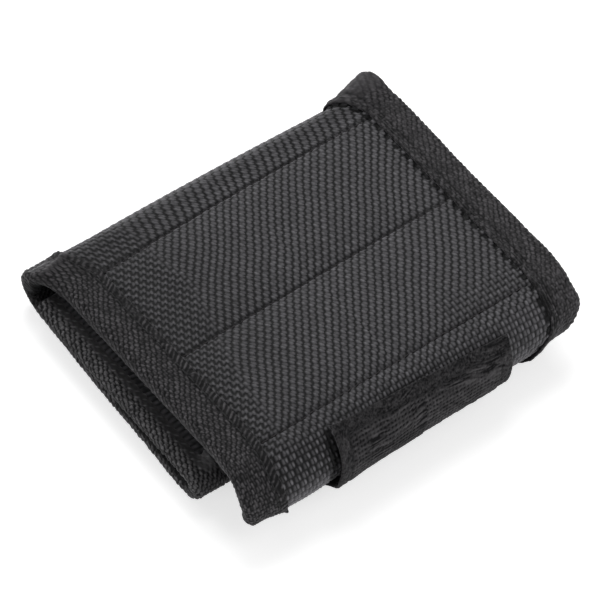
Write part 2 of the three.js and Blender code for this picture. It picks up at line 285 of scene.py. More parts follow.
def narrow(u, s):
    """Distance across: the front roll narrows and sits to the left, the rims swell, the flap lies askew."""
    turn = np.clip(roll_share(s), 0, 1)
    right_taper = 1.2 * step(turn, 0.3, 0.6) + 3.4 * step(turn, 0.5, 0.95)
    left_taper = 4.4 * step(turn, 0.6, 0.97)
    taper = turn + np.where(u > 0, right_taper, left_taper)
    slide = FRONT_SLIDE * step(s, S_FRONT - 8, S_FRONT + 10)
    left = sum(far * bump(s, at, width) for at, width, far in LEFT_SWELLS)
    left = left + 0.35 * between(turn, 0.08, 0.4, 0.6, 0.95)
    right = 1.25 * bump(s, S_FRONT + 9.5, 4)
    right = right + 0.45 * between(s, S_FOLD + 10, S_PANEL, S_PANEL + 10, S_PANEL + 34)
    rims = step(u, 30, HALF) * right - step(-u, 30, HALF) * left
    return u * (1 - taper / HALF) - slide + rims - FLAP_SKEW * flap_end(s)


def place(u, s, h):
    """Point at u across, s along and h out from the skin."""
    u, s, h = np.broadcast_arrays(np.asarray(u, float), np.asarray(s, float), np.asarray(h, float))
    y, z, ny, nz, yaw, shift = profile(s)
    across, along = narrow(u, s), y + h * ny
    x = shift + across * np.cos(yaw) - along * np.sin(yaw)
    y = PIVOT_Y + across * np.sin(yaw) + along * np.cos(yaw)
    return np.stack([x, y, z + h * nz], -1)


def stack_at(s):
    """Thickness of the band from cloth to lining, fuller over the pockets."""
    d = s - S_PANEL
    return STACK + (POCKET_STACK - STACK) * between(d, 0, 4, SEAM_FRONT - 2, SEAM_FRONT + 1.5)


def seam_lines(u):
    """Distance along the panel of each sewn line, which bows a little between the tapes."""
    bow = 1 - np.clip(np.abs(u) / INNER_HALF, 0, 1) ** 2
    wobble = 0.16 * noise(u, 0 * u, 1.1, 45)
    rear, middle, front = SEAM_REAR - 0.7 * bow, SEAM_MIDDLE - 0.2 * bow, SEAM_FRONT - 0.3 * bow
    return rear + wobble, middle - wobble, front + wobble


def front_bulge(u, s):
    """The front roll bulges on the left, and its right end and the nose's left corner are drawn in."""
    turn = roll_share(s)
    out = 0.85 * step(-u, 0, 28) + 0.3 * bump(-u, 30, 6) - 0.9 * step(-u, 35, 42) - 1.3 * step(u, 35, 41)
    nose = 0.45 * bump(s, S_NOSE + math.pi * NOSE_R / 2, 6) * step(-u, 10, 40)
    return out * between(turn, 0.15, 0.5, 0.75, 1.0) - nose


def flare(u, s):
    """The right rear corner stands off the fold."""
    return CORNER_FLARE * bump(fold_angle(s), 38, 46) * step(u, 31, 41)


def hood_pull(s):
    """How far the right tape's inner rim is drawn over the rear fold."""
    return HOOD_PULL * between(fold_angle(s), 8, 72, 100, 150)


def front_pull(s):
    """How far the right tape's inner rim is drawn in under the front roll."""
    return FRONT_PULL * step(roll_angle(s) / RAD, 70, 125)


def skin_lift(u, s):
    """Height of the outer cloth over the plain profile: crowned pockets, sewn valleys, the fold's bow."""
    d = s - S_PANEL
    lines = seam_lines(u)
    side = 1 - np.clip(np.abs(u) / INNER_HALF, 0, 1) ** 4
    lift = flare(u, s) + front_bulge(u, s)
    for a, b in zip(lines, lines[1:]):
        t = np.clip((d - a) / (b - a), 0, 1)
        lift = lift + CROWN * (1 - np.abs(2 * t - 1) ** 4) * side * ((d > a) & (d < b))
    inside = 1 - step(np.abs(u), INNER_HALF + 0.5, INNER_HALF + 2)
    for line, depth in zip(lines, SEAM_DEPTHS):
        lift = lift - depth * bump(d, line, SEAM_WIDTH) * inside
    bow = 1 - np.clip(np.abs(u - 12) / 40, 0, 1) ** 2
    return lift + FOLD_BOW * between(fold_angle(s), -25, 30, 130, 175) * bow


def strap_shift(angle):
    """The strap lies askew on the roll, further right at its tip."""
    degrees = angle / RAD
    return 0.6 * (1 - step(degrees, 120, 150)) + 2.1 * (1 - np.clip((degrees - 29) / 71, 0, 1))


# Weave

YARN_SWAY = 0.14


def float_crown(across, along, warp, slim):
    """Rounded height of a float of yarn, over its width and its length."""
    wide = 1.95 + np.where(warp, 0.8 * slim, 0.0)
    body = np.clip(1 - (wide * across) ** 2, 0, 1) ** 0.55
    bar = 0.2 * slim * warp
    arch = 0.6 - bar + (0.4 + bar) * np.cos(math.pi * along)
    ends = 1 - np.where(warp, 0.75, 0.1) * slim * (2 * along) ** 2
    return body * arch * ends


def weave(x, y, a, b, turn=1.0, gap=0.37, weft_tone=0.8, seed=9, slim=0.0, jitter=0.18):
    """Height and tone, from 0 to 1, of a plain weave with yarn pitch a across and b along.

    Its floats are joined in chains. turn goes from -1 to 1 with the way that the chains run, and slim parts
    the floats into bars.
    """
    p, q = x / a, y / b
    wave = np.cos(math.pi * p) * np.cos(math.pi * q)
    hold = YARN_SWAY * (1 - 0.75 * slim)
    p, q = p + hold * turn * wave, q - 0.5 * hold * wave
    i, j = np.floor(p).astype(int), np.floor(q).astype(int)
    xi, et = p - i - 0.5, q - j - 0.5
    warp = (i + j) % 2 == 0
    each = np.random.default_rng(seed).uniform(-1, 1, (256, 256))[i % 256, j % 256]
    crown = float_crown(np.where(warp, xi, et), np.where(warp, et, xi), warp, slim)
    left, right, low, high = (xi + 0.5) * a, (0.5 - xi) * a, (0.5 - et) * b, (et + 0.5) * b
    open_end, joined_end = np.where(warp, low, high), np.where(warp, high, low)
    one, other = (1 + turn) / 2, (1 - turn) / 2
    at_left, at_right = np.where(warp, one, other), np.where(warp, other, one)
    pit = gap * (1 + 0.2 * each)
    pits = np.maximum(at_left * bump(left, 0, pit), at_right * bump(right, 0, pit))
    pits = np.maximum(pits, bump(open_end, 0, pit) * (1 - 0.85 * slim))
    join = np.maximum(at_left * bump(right, 0, 0.25), at_right * bump(left, 0, 0.25))
    join = np.maximum(join, bump(joined_end, 0, 0.35)) * (1 - slim)
    height = np.clip(0.42 + 0.58 * np.maximum(crown, 0.6 * join) - 0.12 * (~warp) - 0.6 * pits, 0, 1)
    # The tone is painted light and shade: a painted highlight on each float's crown, painted shade in the
    # pits between floats, and weft floats darker as a painted stand-in for the warp floats' reflection; the
    # jitter is each float's own random tone.
    tone = (0.12 + 0.88 * np.maximum(crown ** 1.3, 0.62 * join)) * (1 - 0.95 * pits)
    tone = tone * np.where(warp, 1.0, weft_tone) * (1 + jitter * each)
    return height, np.clip(tone, 0, 1)


# Materials

TONE_FLOOR, TONE_CEILING = 0.12, 0.92
MOTTLE_SCALE = 900.0
SHEEN_ROUGHNESS, SHEEN_TINT = 0.32, (0.8, 0.8, 0.82, 1)
CLOTH_BLACK, DEEP_BLACK = (0.002, 0.002, 0.0023), (0.003, 0.003, 0.0035)


def set_inputs(node, **inputs):
    """Set a shader node's inputs by name, with underscores for spaces."""
    for name, value in inputs.items():
        node.inputs[name.replace("_", " ")].default_value = value
    return node


def shader_node(tree, kind, **inputs):
    """A new shader node with its inputs set by name."""
    return set_inputs(tree.nodes.new("ShaderNode" + kind), **inputs)


def tone_ramp(tree, source, dark, light):
    """Colour from dark to light with a value."""
    ramp = shader_node(tree, "ValToRGB")
    ends = (dark, light), (TONE_FLOOR, TONE_CEILING)
    for stop, colour, position in zip(ramp.color_ramp.elements, *ends):
        stop.color = (*colour, 1)
        stop.position = position
    tree.links.new(source, ramp.inputs["Fac"])
    return ramp.outputs["Color"]


def node_material(name, dark, light, roughness, sheen, relief=False, specular=0.35, metallic=0.0,
                  grain=9000.0, spread=0.22, bump_height=0.00003):
    """A procedural finish: tone from the relief attribute, painted shade included, or from a grain, with
    mottling, wear and a bump.
    """
    material = bpy.data.materials.new(name)
    material.use_nodes = True
    tree = material.node_tree
    link = tree.links.new
    bsdf = set_inputs(tree.nodes["Principled BSDF"], Specular_IOR_Level=specular, Metallic=metallic,
                      Sheen_Weight=sheen, Sheen_Roughness=SHEEN_ROUGHNESS, Sheen_Tint=SHEEN_TINT)
    coords = shader_node(tree, "TexCoord")
    cloud = shader_node(tree, "TexNoise", Scale=MOTTLE_SCALE, Detail=3)
    fine = shader_node(tree, "TexNoise", Scale=grain, Detail=4)
    for texture in (cloud, fine):
        link(coords.outputs["Object"], texture.inputs["Vector"])
    source = fine.outputs["Fac"]
    # The relief attribute holds each mesh's tone; on the cloth, tapes and strap it carries painted shade and
    # highlights.
    if relief:
        attribute = shader_node(tree, "Attribute")
        attribute.attribute_name = "relief"
        source = attribute.outputs["Fac"]
    mottle = shader_node(tree, "MapRange", From_Min=0.3, From_Max=0.7, To_Min=1 - spread, To_Max=1 + spread)
    link(cloud.outputs["Fac"], mottle.inputs["Value"])
    colour = shader_node(tree, "VectorMath")
    colour.operation = "SCALE"
    link(tone_ramp(tree, source, dark, light), colour.inputs[0])
    link(mottle.outputs["Result"], colour.inputs["Scale"])
    link(colour.outputs["Vector"], bsdf.inputs["Base Color"])
    wear = shader_node(tree, "MapRange", To_Min=roughness - 0.08, To_Max=roughness + 0.1)
    link(fine.outputs["Fac"], wear.inputs["Value"])
    link(wear.outputs["Result"], bsdf.inputs["Roughness"])
    grain_bump = shader_node(tree, "Bump", Strength=0.6, Distance=bump_height)
    link(fine.outputs["Fac"], grain_bump.inputs["Height"])
    link(grain_bump.outputs["Normal"], bsdf.inputs["Normal"])
    return material


M_SHELL = node_material(
    "ballistic_cloth", CLOTH_BLACK, (0.1205, 0.1177, 0.1258), 0.55, 0.5, relief=True, specular=0.12)
M_TAPE = node_material(
    "edge_tape", CLOTH_BLACK, (0.0742, 0.0706, 0.0748), 0.65, 0.15, relief=True, specular=0.11)
# A paler copy of the tape material: painted light for the flap's tape in the dark gap.
M_FLAP_TAPE_LIT = node_material(
    "flap_tape_lit", CLOTH_BLACK, (0.170, 0.166, 0.172), 0.65, 0.15, relief=True, specular=0.11)
M_LINING = node_material(
    "mesh_lining", DEEP_BLACK, (0.030, 0.030, 0.032), 0.8, 0.05, relief=True, specular=0.12)
M_LOOP = node_material(
    "loop_pile", DEEP_BLACK, (0.078, 0.075, 0.078), 0.85, 0.12, relief=True, specular=0.10)
M_THREAD = node_material(
    "thread", (0.004, 0.004, 0.0045), (0.022, 0.022, 0.023), 0.55, 0.02, specular=0.15)
M_SEAM_THREAD = node_material(
    "seam_thread", (0.008, 0.0075, 0.008), (0.050, 0.046, 0.048), 0.6, 0.05, specular=0.15)
M_HOOK = node_material(
    "hook_nylon", (0.010, 0.010, 0.011), (0.030, 0.030, 0.032), 0.4, 0.0, specular=0.5)
M_FOAM = node_material(
    "foam", (0.02, 0.02, 0.022), (0.07, 0.07, 0.072), 0.95, 0.0, grain=3000.0, bump_height=0.0001)
M_MAGNET = node_material(
    "nickel_plate", (0.45, 0.44, 0.42), (0.62, 0.61, 0.59), 0.28, 0.0, specular=0.5, metallic=1.0,
    grain=2500.0, spread=0.05, bump_height=0.000005)


# Mesh making

UV_SCALE = 0.01


def mesh_object(name, points, quads, material, relief=None, uv=None):
    """A smooth mesh, with its tone and its place on the flat cloth where they are given."""
    mesh = bpy.data.meshes.new(name)
    points = np.asarray(points, float).reshape(-1, 3)
    quads = np.asarray(quads, int).reshape(-1, 4)
    mesh.vertices.add(len(points))
    mesh.vertices.foreach_set("co", (points * MM).astype(np.float32).ravel())
    mesh.loops.add(quads.size)
    mesh.loops.foreach_set("vertex_index", quads.astype(np.int32).ravel())
    mesh.polygons.add(len(quads))
    mesh.polygons.foreach_set("loop_start", np.arange(0, quads.size, 4, dtype=np.int32))
    mesh.update(calc_edges=True)
    mesh.polygons.foreach_set("use_smooth", np.ones(len(quads), bool))
    if relief is not None:
        attribute = mesh.attributes.new("relief", "FLOAT", "POINT")
        attribute.data.foreach_set("value", np.asarray(relief, np.float32).ravel())
    if uv is not None:
        flat = np.resize(np.stack([np.ravel(x) for x in uv], -1), (len(points), 2)).astype(np.float32)
        mesh.uv_layers.new(name="mm").data.foreach_set("uv", (flat[quads.ravel()] * UV_SCALE).ravel())
    mesh.materials.append(material)
    mesh.validate()
    obj = bpy.data.objects.new(name, mesh)
    bpy.context.scene.collection.objects.link(obj)
    return obj


def grid_quads(rows, cols, offset=0, wrap=False):
    """Faces of a grid of points, closed into a tube where it wraps."""
    idx = np.arange(rows * cols).reshape(rows, cols) + offset
    if wrap:
        idx = np.concatenate([idx, idx[:, :1]], 1)
    return np.stack([idx[:-1, :-1], idx[:-1, 1:], idx[1:, 1:], idx[1:, :-1]], -1).reshape(-1, 4)


def slab_quads(rows, cols):
    """Faces of two grids of points, one under the other, with walls round their edges."""
    n = rows * cols
    idx = np.arange(n).reshape(rows, cols)
    rim = np.concatenate([idx[0, :], idx[1:, -1], idx[-1, -2::-1], idx[-2:0:-1, 0]])
    following = np.roll(rim, -1)
    walls = np.stack([rim, following, following + n, rim + n], -1)
    return np.concatenate([grid_quads(rows, cols)[:, ::-1], grid_quads(rows, cols, n), walls])


def tube_quads(count, length, sides, offset=0):
    """Faces of a number of tubes, one after the other."""
    starts = offset + length * sides * np.arange(count)
    return np.concatenate([grid_quads(length, sides, start, True) for start in starts])


def layers(*faces):
    """The points of several grids in one list."""
    return np.concatenate([face.reshape(-1, 3) for face in faces])


def carry(obj, how):
    """Ride on one body, or keep a piece that lies across a joint where it is, with its transform baked."""
    if len(how) == 1:
        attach(obj, how[0])
    else:
        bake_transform(obj)
    return obj


def settle(obj, slot, how, *nodes):
    """Hide the CAD nodes that a piece replaces and carry it; its slot is not used."""
    if nodes:
        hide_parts(*nodes)
    return carry(obj, how)


# Outer cloth

WARP, WEFT = 0.99, 1.44
WEAVE_HEIGHT, DASH_DEPTH, TUCK_DEPTH = 0.28, 0.4, 0.15
DASH_PITCH = 3.6
FINE_HALF = 36.0


def cloth_grid(run, s0, s1):
    """Distance along and across at every point of a piece of cloth, finer where the photo shows it."""
    across, along = (WARP / 7, WEFT / 9) if run in SEEN_RUNS else (WARP / 5, WEFT / 6)
    middle = spaced(-FINE_HALF, FINE_HALF + RIGHT_RIM, across)
    edge = np.linspace(FINE_HALF + 0.6, CUT_HALF, 8)
    return grid(spaced(s0, s1, along), np.concatenate([-edge[::-1], middle, edge[1:]]))


def front_curl(S):
    """From 0 on the panel to 1 on the front roll."""
    return step(S, S_FRONT - 0.5, S_FRONT + 8)


def leftward(U, S):
    """Mask for painted shade, from 0 to 1 towards the left edge, falling to half over the front pocket."""
    return step(-U, 4, 26) * (1 - 0.5 * step(S, S_PANEL + 30, S_PANEL + 60))


def fold_front(S):
    """The part of the rear fold that catches the light behind it."""
    return bump(fold_angle(S), 62, 24)


def cloth_weave(U, S):
    """Weave of the outer cloth: its chains turn near the left edge and part into bars on the front curl."""
    curl = front_curl(S)
    sway = 0.35 * noise(U, S, 14, 3) + 0.1 * noise(U, S, 5, 4)
    broken = 1.3 * step(U, 4, 30) * bump(S - S_PANEL, SEAM_FRONT - 3, 6)
    chains_from = -28 - 7 * step(S, S_PANEL + 22, S_PANEL + 58)
    way = step(U - chains_from, 0, 9) * 2 - 1 - broken + 0.35 * noise(U, S, 9, 8)
    turn = mix(np.clip(1.8 * way, -1, 1), -0.75, curl)
    along = -(S + 0.6 * sway + 0.25 * noise(U, S, 11, 5))
    # Towards the left the pits widen as painted shade; on the front curl the weft floats darken as a painted
    # stand-in for the warp floats' reflection.
    return weave(U + sway, along, WARP, WEFT, turn, gap=0.37 + 0.13 * leftward(U, S),
                 weft_tone=0.8 - 0.38 * curl, slim=curl, jitter=0.18 + 0.15 * curl)


def rim_dents_and_shadow(U, S):
    """Dashes along the tapes' sewn rims that dent the cloth and darken it as painted shadow; on the right
    they follow the drawn-in rim and join into a line.
    """
    rim_at = np.where(U > 0, INNER_HALF + RIGHT_RIM, INNER_HALF)
    holes = step(ripple(S, DASH_PITCH) + 0.6 * noise(U, S, 2.0, 10), -0.45, 0.1)
    pull = hood_pull(S)
    in_hood = step(pull, 0.25, 0.8)
    right_line = rim_at - pull - front_pull(S) - 0.5
    right = np.maximum(holes, in_hood) * bump(U, right_line, 0.55 + 0.2 * in_hood)
    left = 0.5 * holes * bump(U, 0.2 - rim_at, 0.42)
    return np.where(U > 0, right, left)


def strap_edge_shadow(U, S):
    """Painted shadow on the cloth along the strap's left edge, where the strap stands off the roll."""
    angle = roll_angle(S)
    edge = 1.01 * (strap_shift(angle) - STRAP_HALF * STRAP_NARROW)
    return bump(U, edge - 0.5, 0.8) * between(angle, 0.33, 0.42, 2.0, 2.4)


def cloth_tone(tone, U, S):
    """Weave tone with painted highlight and sheen on the front curl, its limb and the rear fold, and painted
    shade leftwards.
    """
    curl, to_right = front_curl(S), step(U, 5, 25)
    limb = step(S, S_FRONT + 9.5, S_FRONT + 17)
    fold_limb = (0.3 + 0.35 * step(-U, 5, 30)) * bump(fold_angle(S), 84, 26)
    gain = 1 + (0.62 + 0.25 * to_right) * curl + 0.3 * limb + fold_limb
    tone = crisp(tone, 0.45) * gain * (1 - 0.05 * leftward(U, S))
    tone = tone * (1 - 0.4 * limb) + 0.75 * limb
    # Painted highlight: hazed where the rear fold catches the light behind it and on the front curl's right.
    sheen_haze = 0.6 * fold_front(S) + 0.2 * curl * (1 - limb) * to_right
    return mix(tone, 0.85, sheen_haze)


def cloth_shade(tone, U, S, dent_and_shadow):
    """The tone with painted shade in the seams, painted shadow under the tape rims and by the strap, a
    speckle, and softer contrast.
    """
    seams = sum(bump(S - S_PANEL, line - 0.15, 0.42) for line in seam_lines(U))
    seam_shade = seams * (0.8 + 0.3 * noise(U, S, 1.6, 47))
    speckle = (1 + 0.08 * noise(U, S, 2.5, 7)) * (1 + 0.16 * noise(U, S, 0.32, 40))
    shade = tone * (1 - 0.5 * seam_shade) * (1 - 0.9 * dent_and_shadow) * (1 - 0.95 * strap_edge_shadow(U, S)) * speckle
    # Painted light: more contrast where the rear fold catches the light, less at its shaded foot, and a paler
    # flap strip in the gap.
    contrast = 0.78 + 0.3 * fold_front(S) - 0.1 * bump(fold_angle(S), 8, 16)
    gap_light = step(-U, 30, 33.5) * (1 - step(S, S_NOSE - 2, S_NOSE + 3))
    return np.clip(TONE_FLOOR + contrast * (shade - TONE_FLOOR) + 0.22 * gap_light, 0, 1)


def cloth(run, s0, s1, how):
    """One piece of the outer cloth, with its weave as relief and tone."""
    S, U = cloth_grid(run, s0, s1)
    relief, tone = cloth_weave(U, S)
    dent_and_shadow = rim_dents_and_shadow(U, S)
    rim_at = np.where(U > 0, INNER_HALF + RIGHT_RIM, INNER_HALF)
    under_tape = step(np.abs(U), rim_at + 0.3, rim_at + 0.8)
    yarn = WEAVE_HEIGHT * (relief - 0.6) + 0.02 * noise(U, S, 0.45, 6)
    h = skin_lift(U, S) + mix(yarn, -TUCK_DEPTH, under_tape) - DASH_DEPTH * dent_and_shadow
    shade = cloth_shade(cloth_tone(tone, U, S), U, S, dent_and_shadow)
    obj = mesh_object("cloth_" + run, place(U, S, h), grid_quads(*U.shape), M_SHELL, shade, (U, S))
    settle(obj, "shell", how, *("shell_" + node for node in CLOTH_NODES[run]))


# Lining on the skin side

LINING_PITCH, MESH_CELL, MESH_DEPTH = 0.5, 1.9, 0.10


def path_length(s, h):
    """Length of the band's middle line at height h over the skin."""
    return float(np.linalg.norm(np.diff(place(0 * s, s, h), axis=0), axis=1).sum())


def lining(run, s0, s1, how):
    """One piece of the mesh lining."""
    s = spaced(s0, s1, LINING_PITCH)
    S, U = grid(s, spaced(-CUT_HALF, CUT_HALF, LINING_PITCH))
    holes = np.cos(math.pi * (U + S) / MESH_CELL) * np.cos(math.pi * (U - S) / MESH_CELL)
    relief = np.clip(0.6 - 0.6 * holes, 0, 1)
    h = flare(U, S) + front_bulge(U, S) - stack_at(S) - MESH_DEPTH * (relief - 0.5)
    quads = grid_quads(*U.shape)[:, ::-1]
    obj = mesh_object("mesh_" + run, place(U, S, h), quads, M_LINING, relief, (U, S))
    settle(obj, "lining", how, *("lining_" + node for node in CLOTH_NODES[run]))
    width, length = 2 * CUT_HALF * MM, path_length(s, -stack_at(s)) * MM


for run, s0, s1, how in RUNS:
    cloth(run, s0, s1, how)
    lining(run, s0, s1, how)


# Edge tapes

TAPE_WARP, TAPE_WEFT, TAPE_LUMP = 0.65, 1.08, 1.39
TAPE_RIM = ((0.25, -0.12), (0.02, 0.06), (-0.03, 0.28), (0.08, 0.48), (0.3, 0.6))
RIM_THREAD = 0.62
GLINT_FILE, GLINT_PITCH = 1.15, 2.9
ROUGH, ROUGH_UNSEEN = {"left": 0.25, "right": 0.2}, 0.44
LUMPS, LUMPS_UNSEEN = 0.20, 0.38
SPECKLE = {"left": 0.7, "right": 0.6}
# The gains are painted light and shade: the left tape darker and the right paler as the light falls, the
# unseen tapes paler, and the front roll's a little paler.
TAPE_GAIN, TAPE_GAIN_UNSEEN = {"left": 0.8, "right": 0.95}, 1.35
# FLAP_TONE brings the paler copy back down, except where painted light is added on the flap's top.
FLAP_TONE = 0.5
END_SHARES = (0.98, 0.441, 0.1176)


def inner_face(h):
    """From 0 on the tape's outer face to 1 on its inner face."""
    return step(-h, 0.7 * STACK, STACK + 0.2)


def tape_section(fine, rim_at):
    """Across, height and distance of the folded tape's points, from its outer rim to its inner rim."""
    r = (STACK + 2 * TAPE_PROUD) / 2
    flat_end = HALF - r
    rim = [(rim_at + across, height) for across, height in TAPE_RIM]
    flat = [(x, TAPE_PROUD) for x in spaced(rim_at + 0.45, flat_end, fine)]
    angles = np.linspace(0, math.pi, int(math.pi * r / fine) + 1)[1:-1]
    turn = [(flat_end + r * math.sin(a), -STACK / 2 + r * math.cos(a)) for a in angles]
    outer = rim + flat
    back = [(x, -STACK - z) for x, z in outer[::-1]]
    points = np.array(outer + turn + back)
    q = np.concatenate([[0], np.cumsum(np.hypot(*np.diff(points, axis=0).T))])
    return points[:, 0], points[:, 1], q


def gap_lit_tape(side, run):
    """The flap's left tape, which shows through the gap, takes a paler copy of the tape material as painted
    light.
    """
    return side < 0 and run == "inner_roll"


def rear_crease(Q, S):
    """A slanting crease over the left tape, where the rear fold ends."""
    return bump(S - S_PANEL + 1.6 - 0.25 * (Q - 4.0), 0, 0.8) * between(Q, 0.6, 2.0, 8.0, 10.0)


def flap_top(S, A, H):
    """The outer face of the flap's tape, where painted light replaces its tone."""
    return (1 - step(S, S_NOSE, S_NOSE + 3)) * (1 - inner_face(H)) * (1 - step(A, 41.2, 42.6))


def tape_grid(side, run, s0, s1):
    """A tape's points, by distance along the band, over the tape, across and out, with what marks them."""
    fine, along = (TAPE_WARP / 4, TAPE_WEFT / 6) if run in SEEN_RUNS else (TAPE_WARP / 3, TAPE_WEFT / 4)
    across, height, q = tape_section(fine, INNER_HALF + RIGHT_RIM * (side > 0))
    S, Q = grid(spaced(s0, s1, along), q)
    A, H = np.broadcast_to(across, S.shape), np.broadcast_to(height, S.shape)
    H = H - (stack_at(S) - STACK) * step(-H, 0.3, STACK - 0.3)
    if side < 0:
        full_corner = 2.0 * bump(fold_angle(S), 80, 24) * step(A, 39.0, 43.5)
        H = H - full_corner * inner_face(H)
    from_rim = np.minimum(Q, q[-1] - Q)
    pulled = between(from_rim, 0.2, 0.5, 2.4, 3.4) * step(noise(Q, S, 0.95, 31), 0.2, 0.6)
    return SimpleNamespace(
        S=S, Q=Q, A=A, H=H, from_rim=from_rim, rim=step(from_rim, 0.3, 0.9), sewn=bump(from_rim, 2.75, 0.35),
        pulled=pulled, crease=rear_crease(Q, S) if side < 0 else 0.0,
        flap_top=flap_top(S, A, H) if gap_lit_tape(side, run) else 0.0)


def hood(side, s, a):
    """How far the tape leans and stands up at the rear corners, at distance a from the band's middle."""
    angle = fold_angle(s)
    if side < 0:
        stand = 0.8 * bump(angle, 48, 20) * (1 - step(a, 36.0, 40.0)) - 0.85 * bump(angle, 44, 24)
        return 0.0 * angle, stand
    corner = bump(angle, 34, 42)
    lean = 1.4 * corner * step(a, 36.0, 43.5) - (hood_pull(s) + front_pull(s)) * (1 - step(a, 37.0, 42.5))
    stand = corner * (0.65 + 2.4 * step(a, 37.0, 44.0)) + 0.2 * front_pull(s) * (1 - step(a, 37.5, 42.0))
    return lean, stand


def ribbed(t, relief, tone):
    """A tape's weave with slanting ribs along the rim."""
    Q, S = t.Q, t.S
    share = between(t.from_rim, 0.3, 0.5, 2.5, 3.3) * np.clip(0.75 + 0.6 * noise(Q, S, 3.0, 30), 0, 1)
    slant = ripple(S - 0.7 * Q + 0.5 * noise(Q, S, 2.4, 17), TAPE_LUMP)
    ribs = np.clip(0.30 + (0.62 + 0.3 * noise(Q, S, 2.2, 20)) * slant, 0, 1)
    rib_tone = (0.03 + 0.85 * ribs) * (1 + 0.45 * noise(Q, S, 1.4, 39))
    return mix(relief, ribs, share), mix(tone, rib_tone, share)


def streaked(t, relief, tone):
    """A tape's weave with slanting streaks, and with threads along the rim."""
    Q, S = t.Q, t.S
    streak = noise(4.0 * (0.9 * Q + 0.42 * S), 0.7 * (0.9 * S - 0.42 * Q), 1.0, 34)
    lines = ripple(t.from_rim + 0.25 * noise(Q, S, 9, 35), RIM_THREAD)
    threads = between(t.from_rim, 0.5, 0.9, 2.6, 3.4) * lines
    relief = mix(relief, 0.55 + 0.25 * streak + 0.2 * threads, 0.25)
    return relief, mix(tone, 0.5 + 0.3 * streak + 0.25 * threads, 0.4)


def tape_weave(t, side, run):
    """Weave of a tape: the right one is streaked, and the left one is ribbed where the photo shows it."""
    Q, S = t.Q, t.S
    across = side * Q + 0.16 * noise(Q + 40 * side, S, 5, 11) + 0.18 * noise(Q, S, 1.3, 27)
    along = -S + 0.35 * noise(Q, S, 8, 12) + 0.30 * noise(Q, S, 1.7, 28)
    way = np.clip(0.9 - 0.9 * step(S, S_FRONT - 3, S_FRONT + 4) + 0.45 * noise(Q, S, 6, 18), -1, 1)
    relief, tone = weave(
        across, along, TAPE_WARP, TAPE_WEFT, way, gap=0.24, weft_tone=0.66, seed=19, jitter=0.42)
    if side > 0:
        return streaked(t, relief, tone)
    return ribbed(t, relief, tone) if run in SEEN_RUNS else (relief, tone)


def draw_together(points, rows):
    """Close a tape's end: its last rows of points are drawn to their middle."""
    for row, share in zip(rows, END_SHARES):
        points[row] += (points[row].mean(0) - points[row]) * share


def tape_points(t, side, label, run, relief):
    """Where a tape lies, with its weave, lumps, dents and creases, and the hoods at its rear corners."""
    S, Q, A, H, seen = t.S, t.Q, t.A, t.H, run in SEEN_RUNS
    rough = (ROUGH[label] if seen else ROUGH_UNSEEN) * (1 - 0.85 * t.flap_top)
    out = rough * (relief - 0.6) * (0.4 + 0.6 * t.rim) - 0.12 * t.pulled - 0.16 * t.sewn + 0.7 * t.crease
    out = out + t.rim * (0.06 * noise(Q, S, 0.6, 13 + side) + 0.14 * noise(Q * 0.6, S, 4.5, 15 + side))
    lump = ripple(S + 0.5 * noise(Q, S, 4, 33), TAPE_LUMP) * (0.7 + 0.5 * noise(Q, S, 3, 32))
    edge = step(A, HALF - 2.2, HALF - 0.3) * (LUMPS if seen else LUMPS_UNSEEN)
    out = out + edge * (lump + 0.6 * noise(Q, S, 0.8, 41))
    if side < 0:
        out = out + 0.45 * bump(S, along_roll(118 * RAD), 0.9) * bump(Q, 0.9, 0.8)
    out = out - 0.9 * (1 - step(S, S_NOSE - 4, S_NOSE)) * (1 - inner_face(H)) * bump(A, 38.8, 1.9)
    lean, stand = hood(side, S, A)
    h = H + np.where(H > -STACK / 2, out, -out) + stand * (0.35 + 0.65 * step(H, -STACK, 0.2))
    points = place(side * (A + lean), S, h + flare(side * A, S) + front_bulge(side * A, S))
    if run == "inner_roll":
        draw_together(points, (0, 1, 2))
    if run == "front":
        draw_together(points, (-1, -2, -3))
    return points


def painted_glints(Q, S):
    """Small slanting painted glints in staggered files, standing in for float tops that catch the light."""
    file = np.round(Q / GLINT_FILE)
    at = (S + 0.2 * noise(Q, S, 3.0, 42)) / GLINT_PITCH + 0.5 * (file % 2)
    off_s, off_q = (at - np.round(at)) * GLINT_PITCH, Q - GLINT_FILE * file
    return bump(0.81 * off_q - 0.59 * off_s, 0, 0.42) * bump(0.59 * off_q + 0.81 * off_s, 0, 0.17)


def flap_shade(t, shade):
    """The flap's left tape: painted light and glints on top, painted shade under its edge and in the slit
    over the lower layer.
    """
    under_edge = between(-t.H, 0.7, 1.5, 2.2, 3.0) * (1 - step(t.S, S_NOSE - 8, S_NOSE))
    from_nose = t.S - S_LOWER
    slit = step(-t.H - 2.2 + 0.8 * np.clip(from_nose / S_NOSE, 0, 1), 0, 0.6)
    slit = slit * between(from_nose, -3, 2, S_NOSE - 1, S_NOSE + 3)
    shade = shade * (1 - 0.9 * np.maximum(under_edge, slit))
    top = t.flap_top * (0.25 + 0.34 * step(-t.A, -42.0, -38.5) + 0.9 * painted_glints(t.Q, t.S))
    return np.clip(TONE_FLOOR + FLAP_TONE * (shade - TONE_FLOOR) + top, 0, 1)


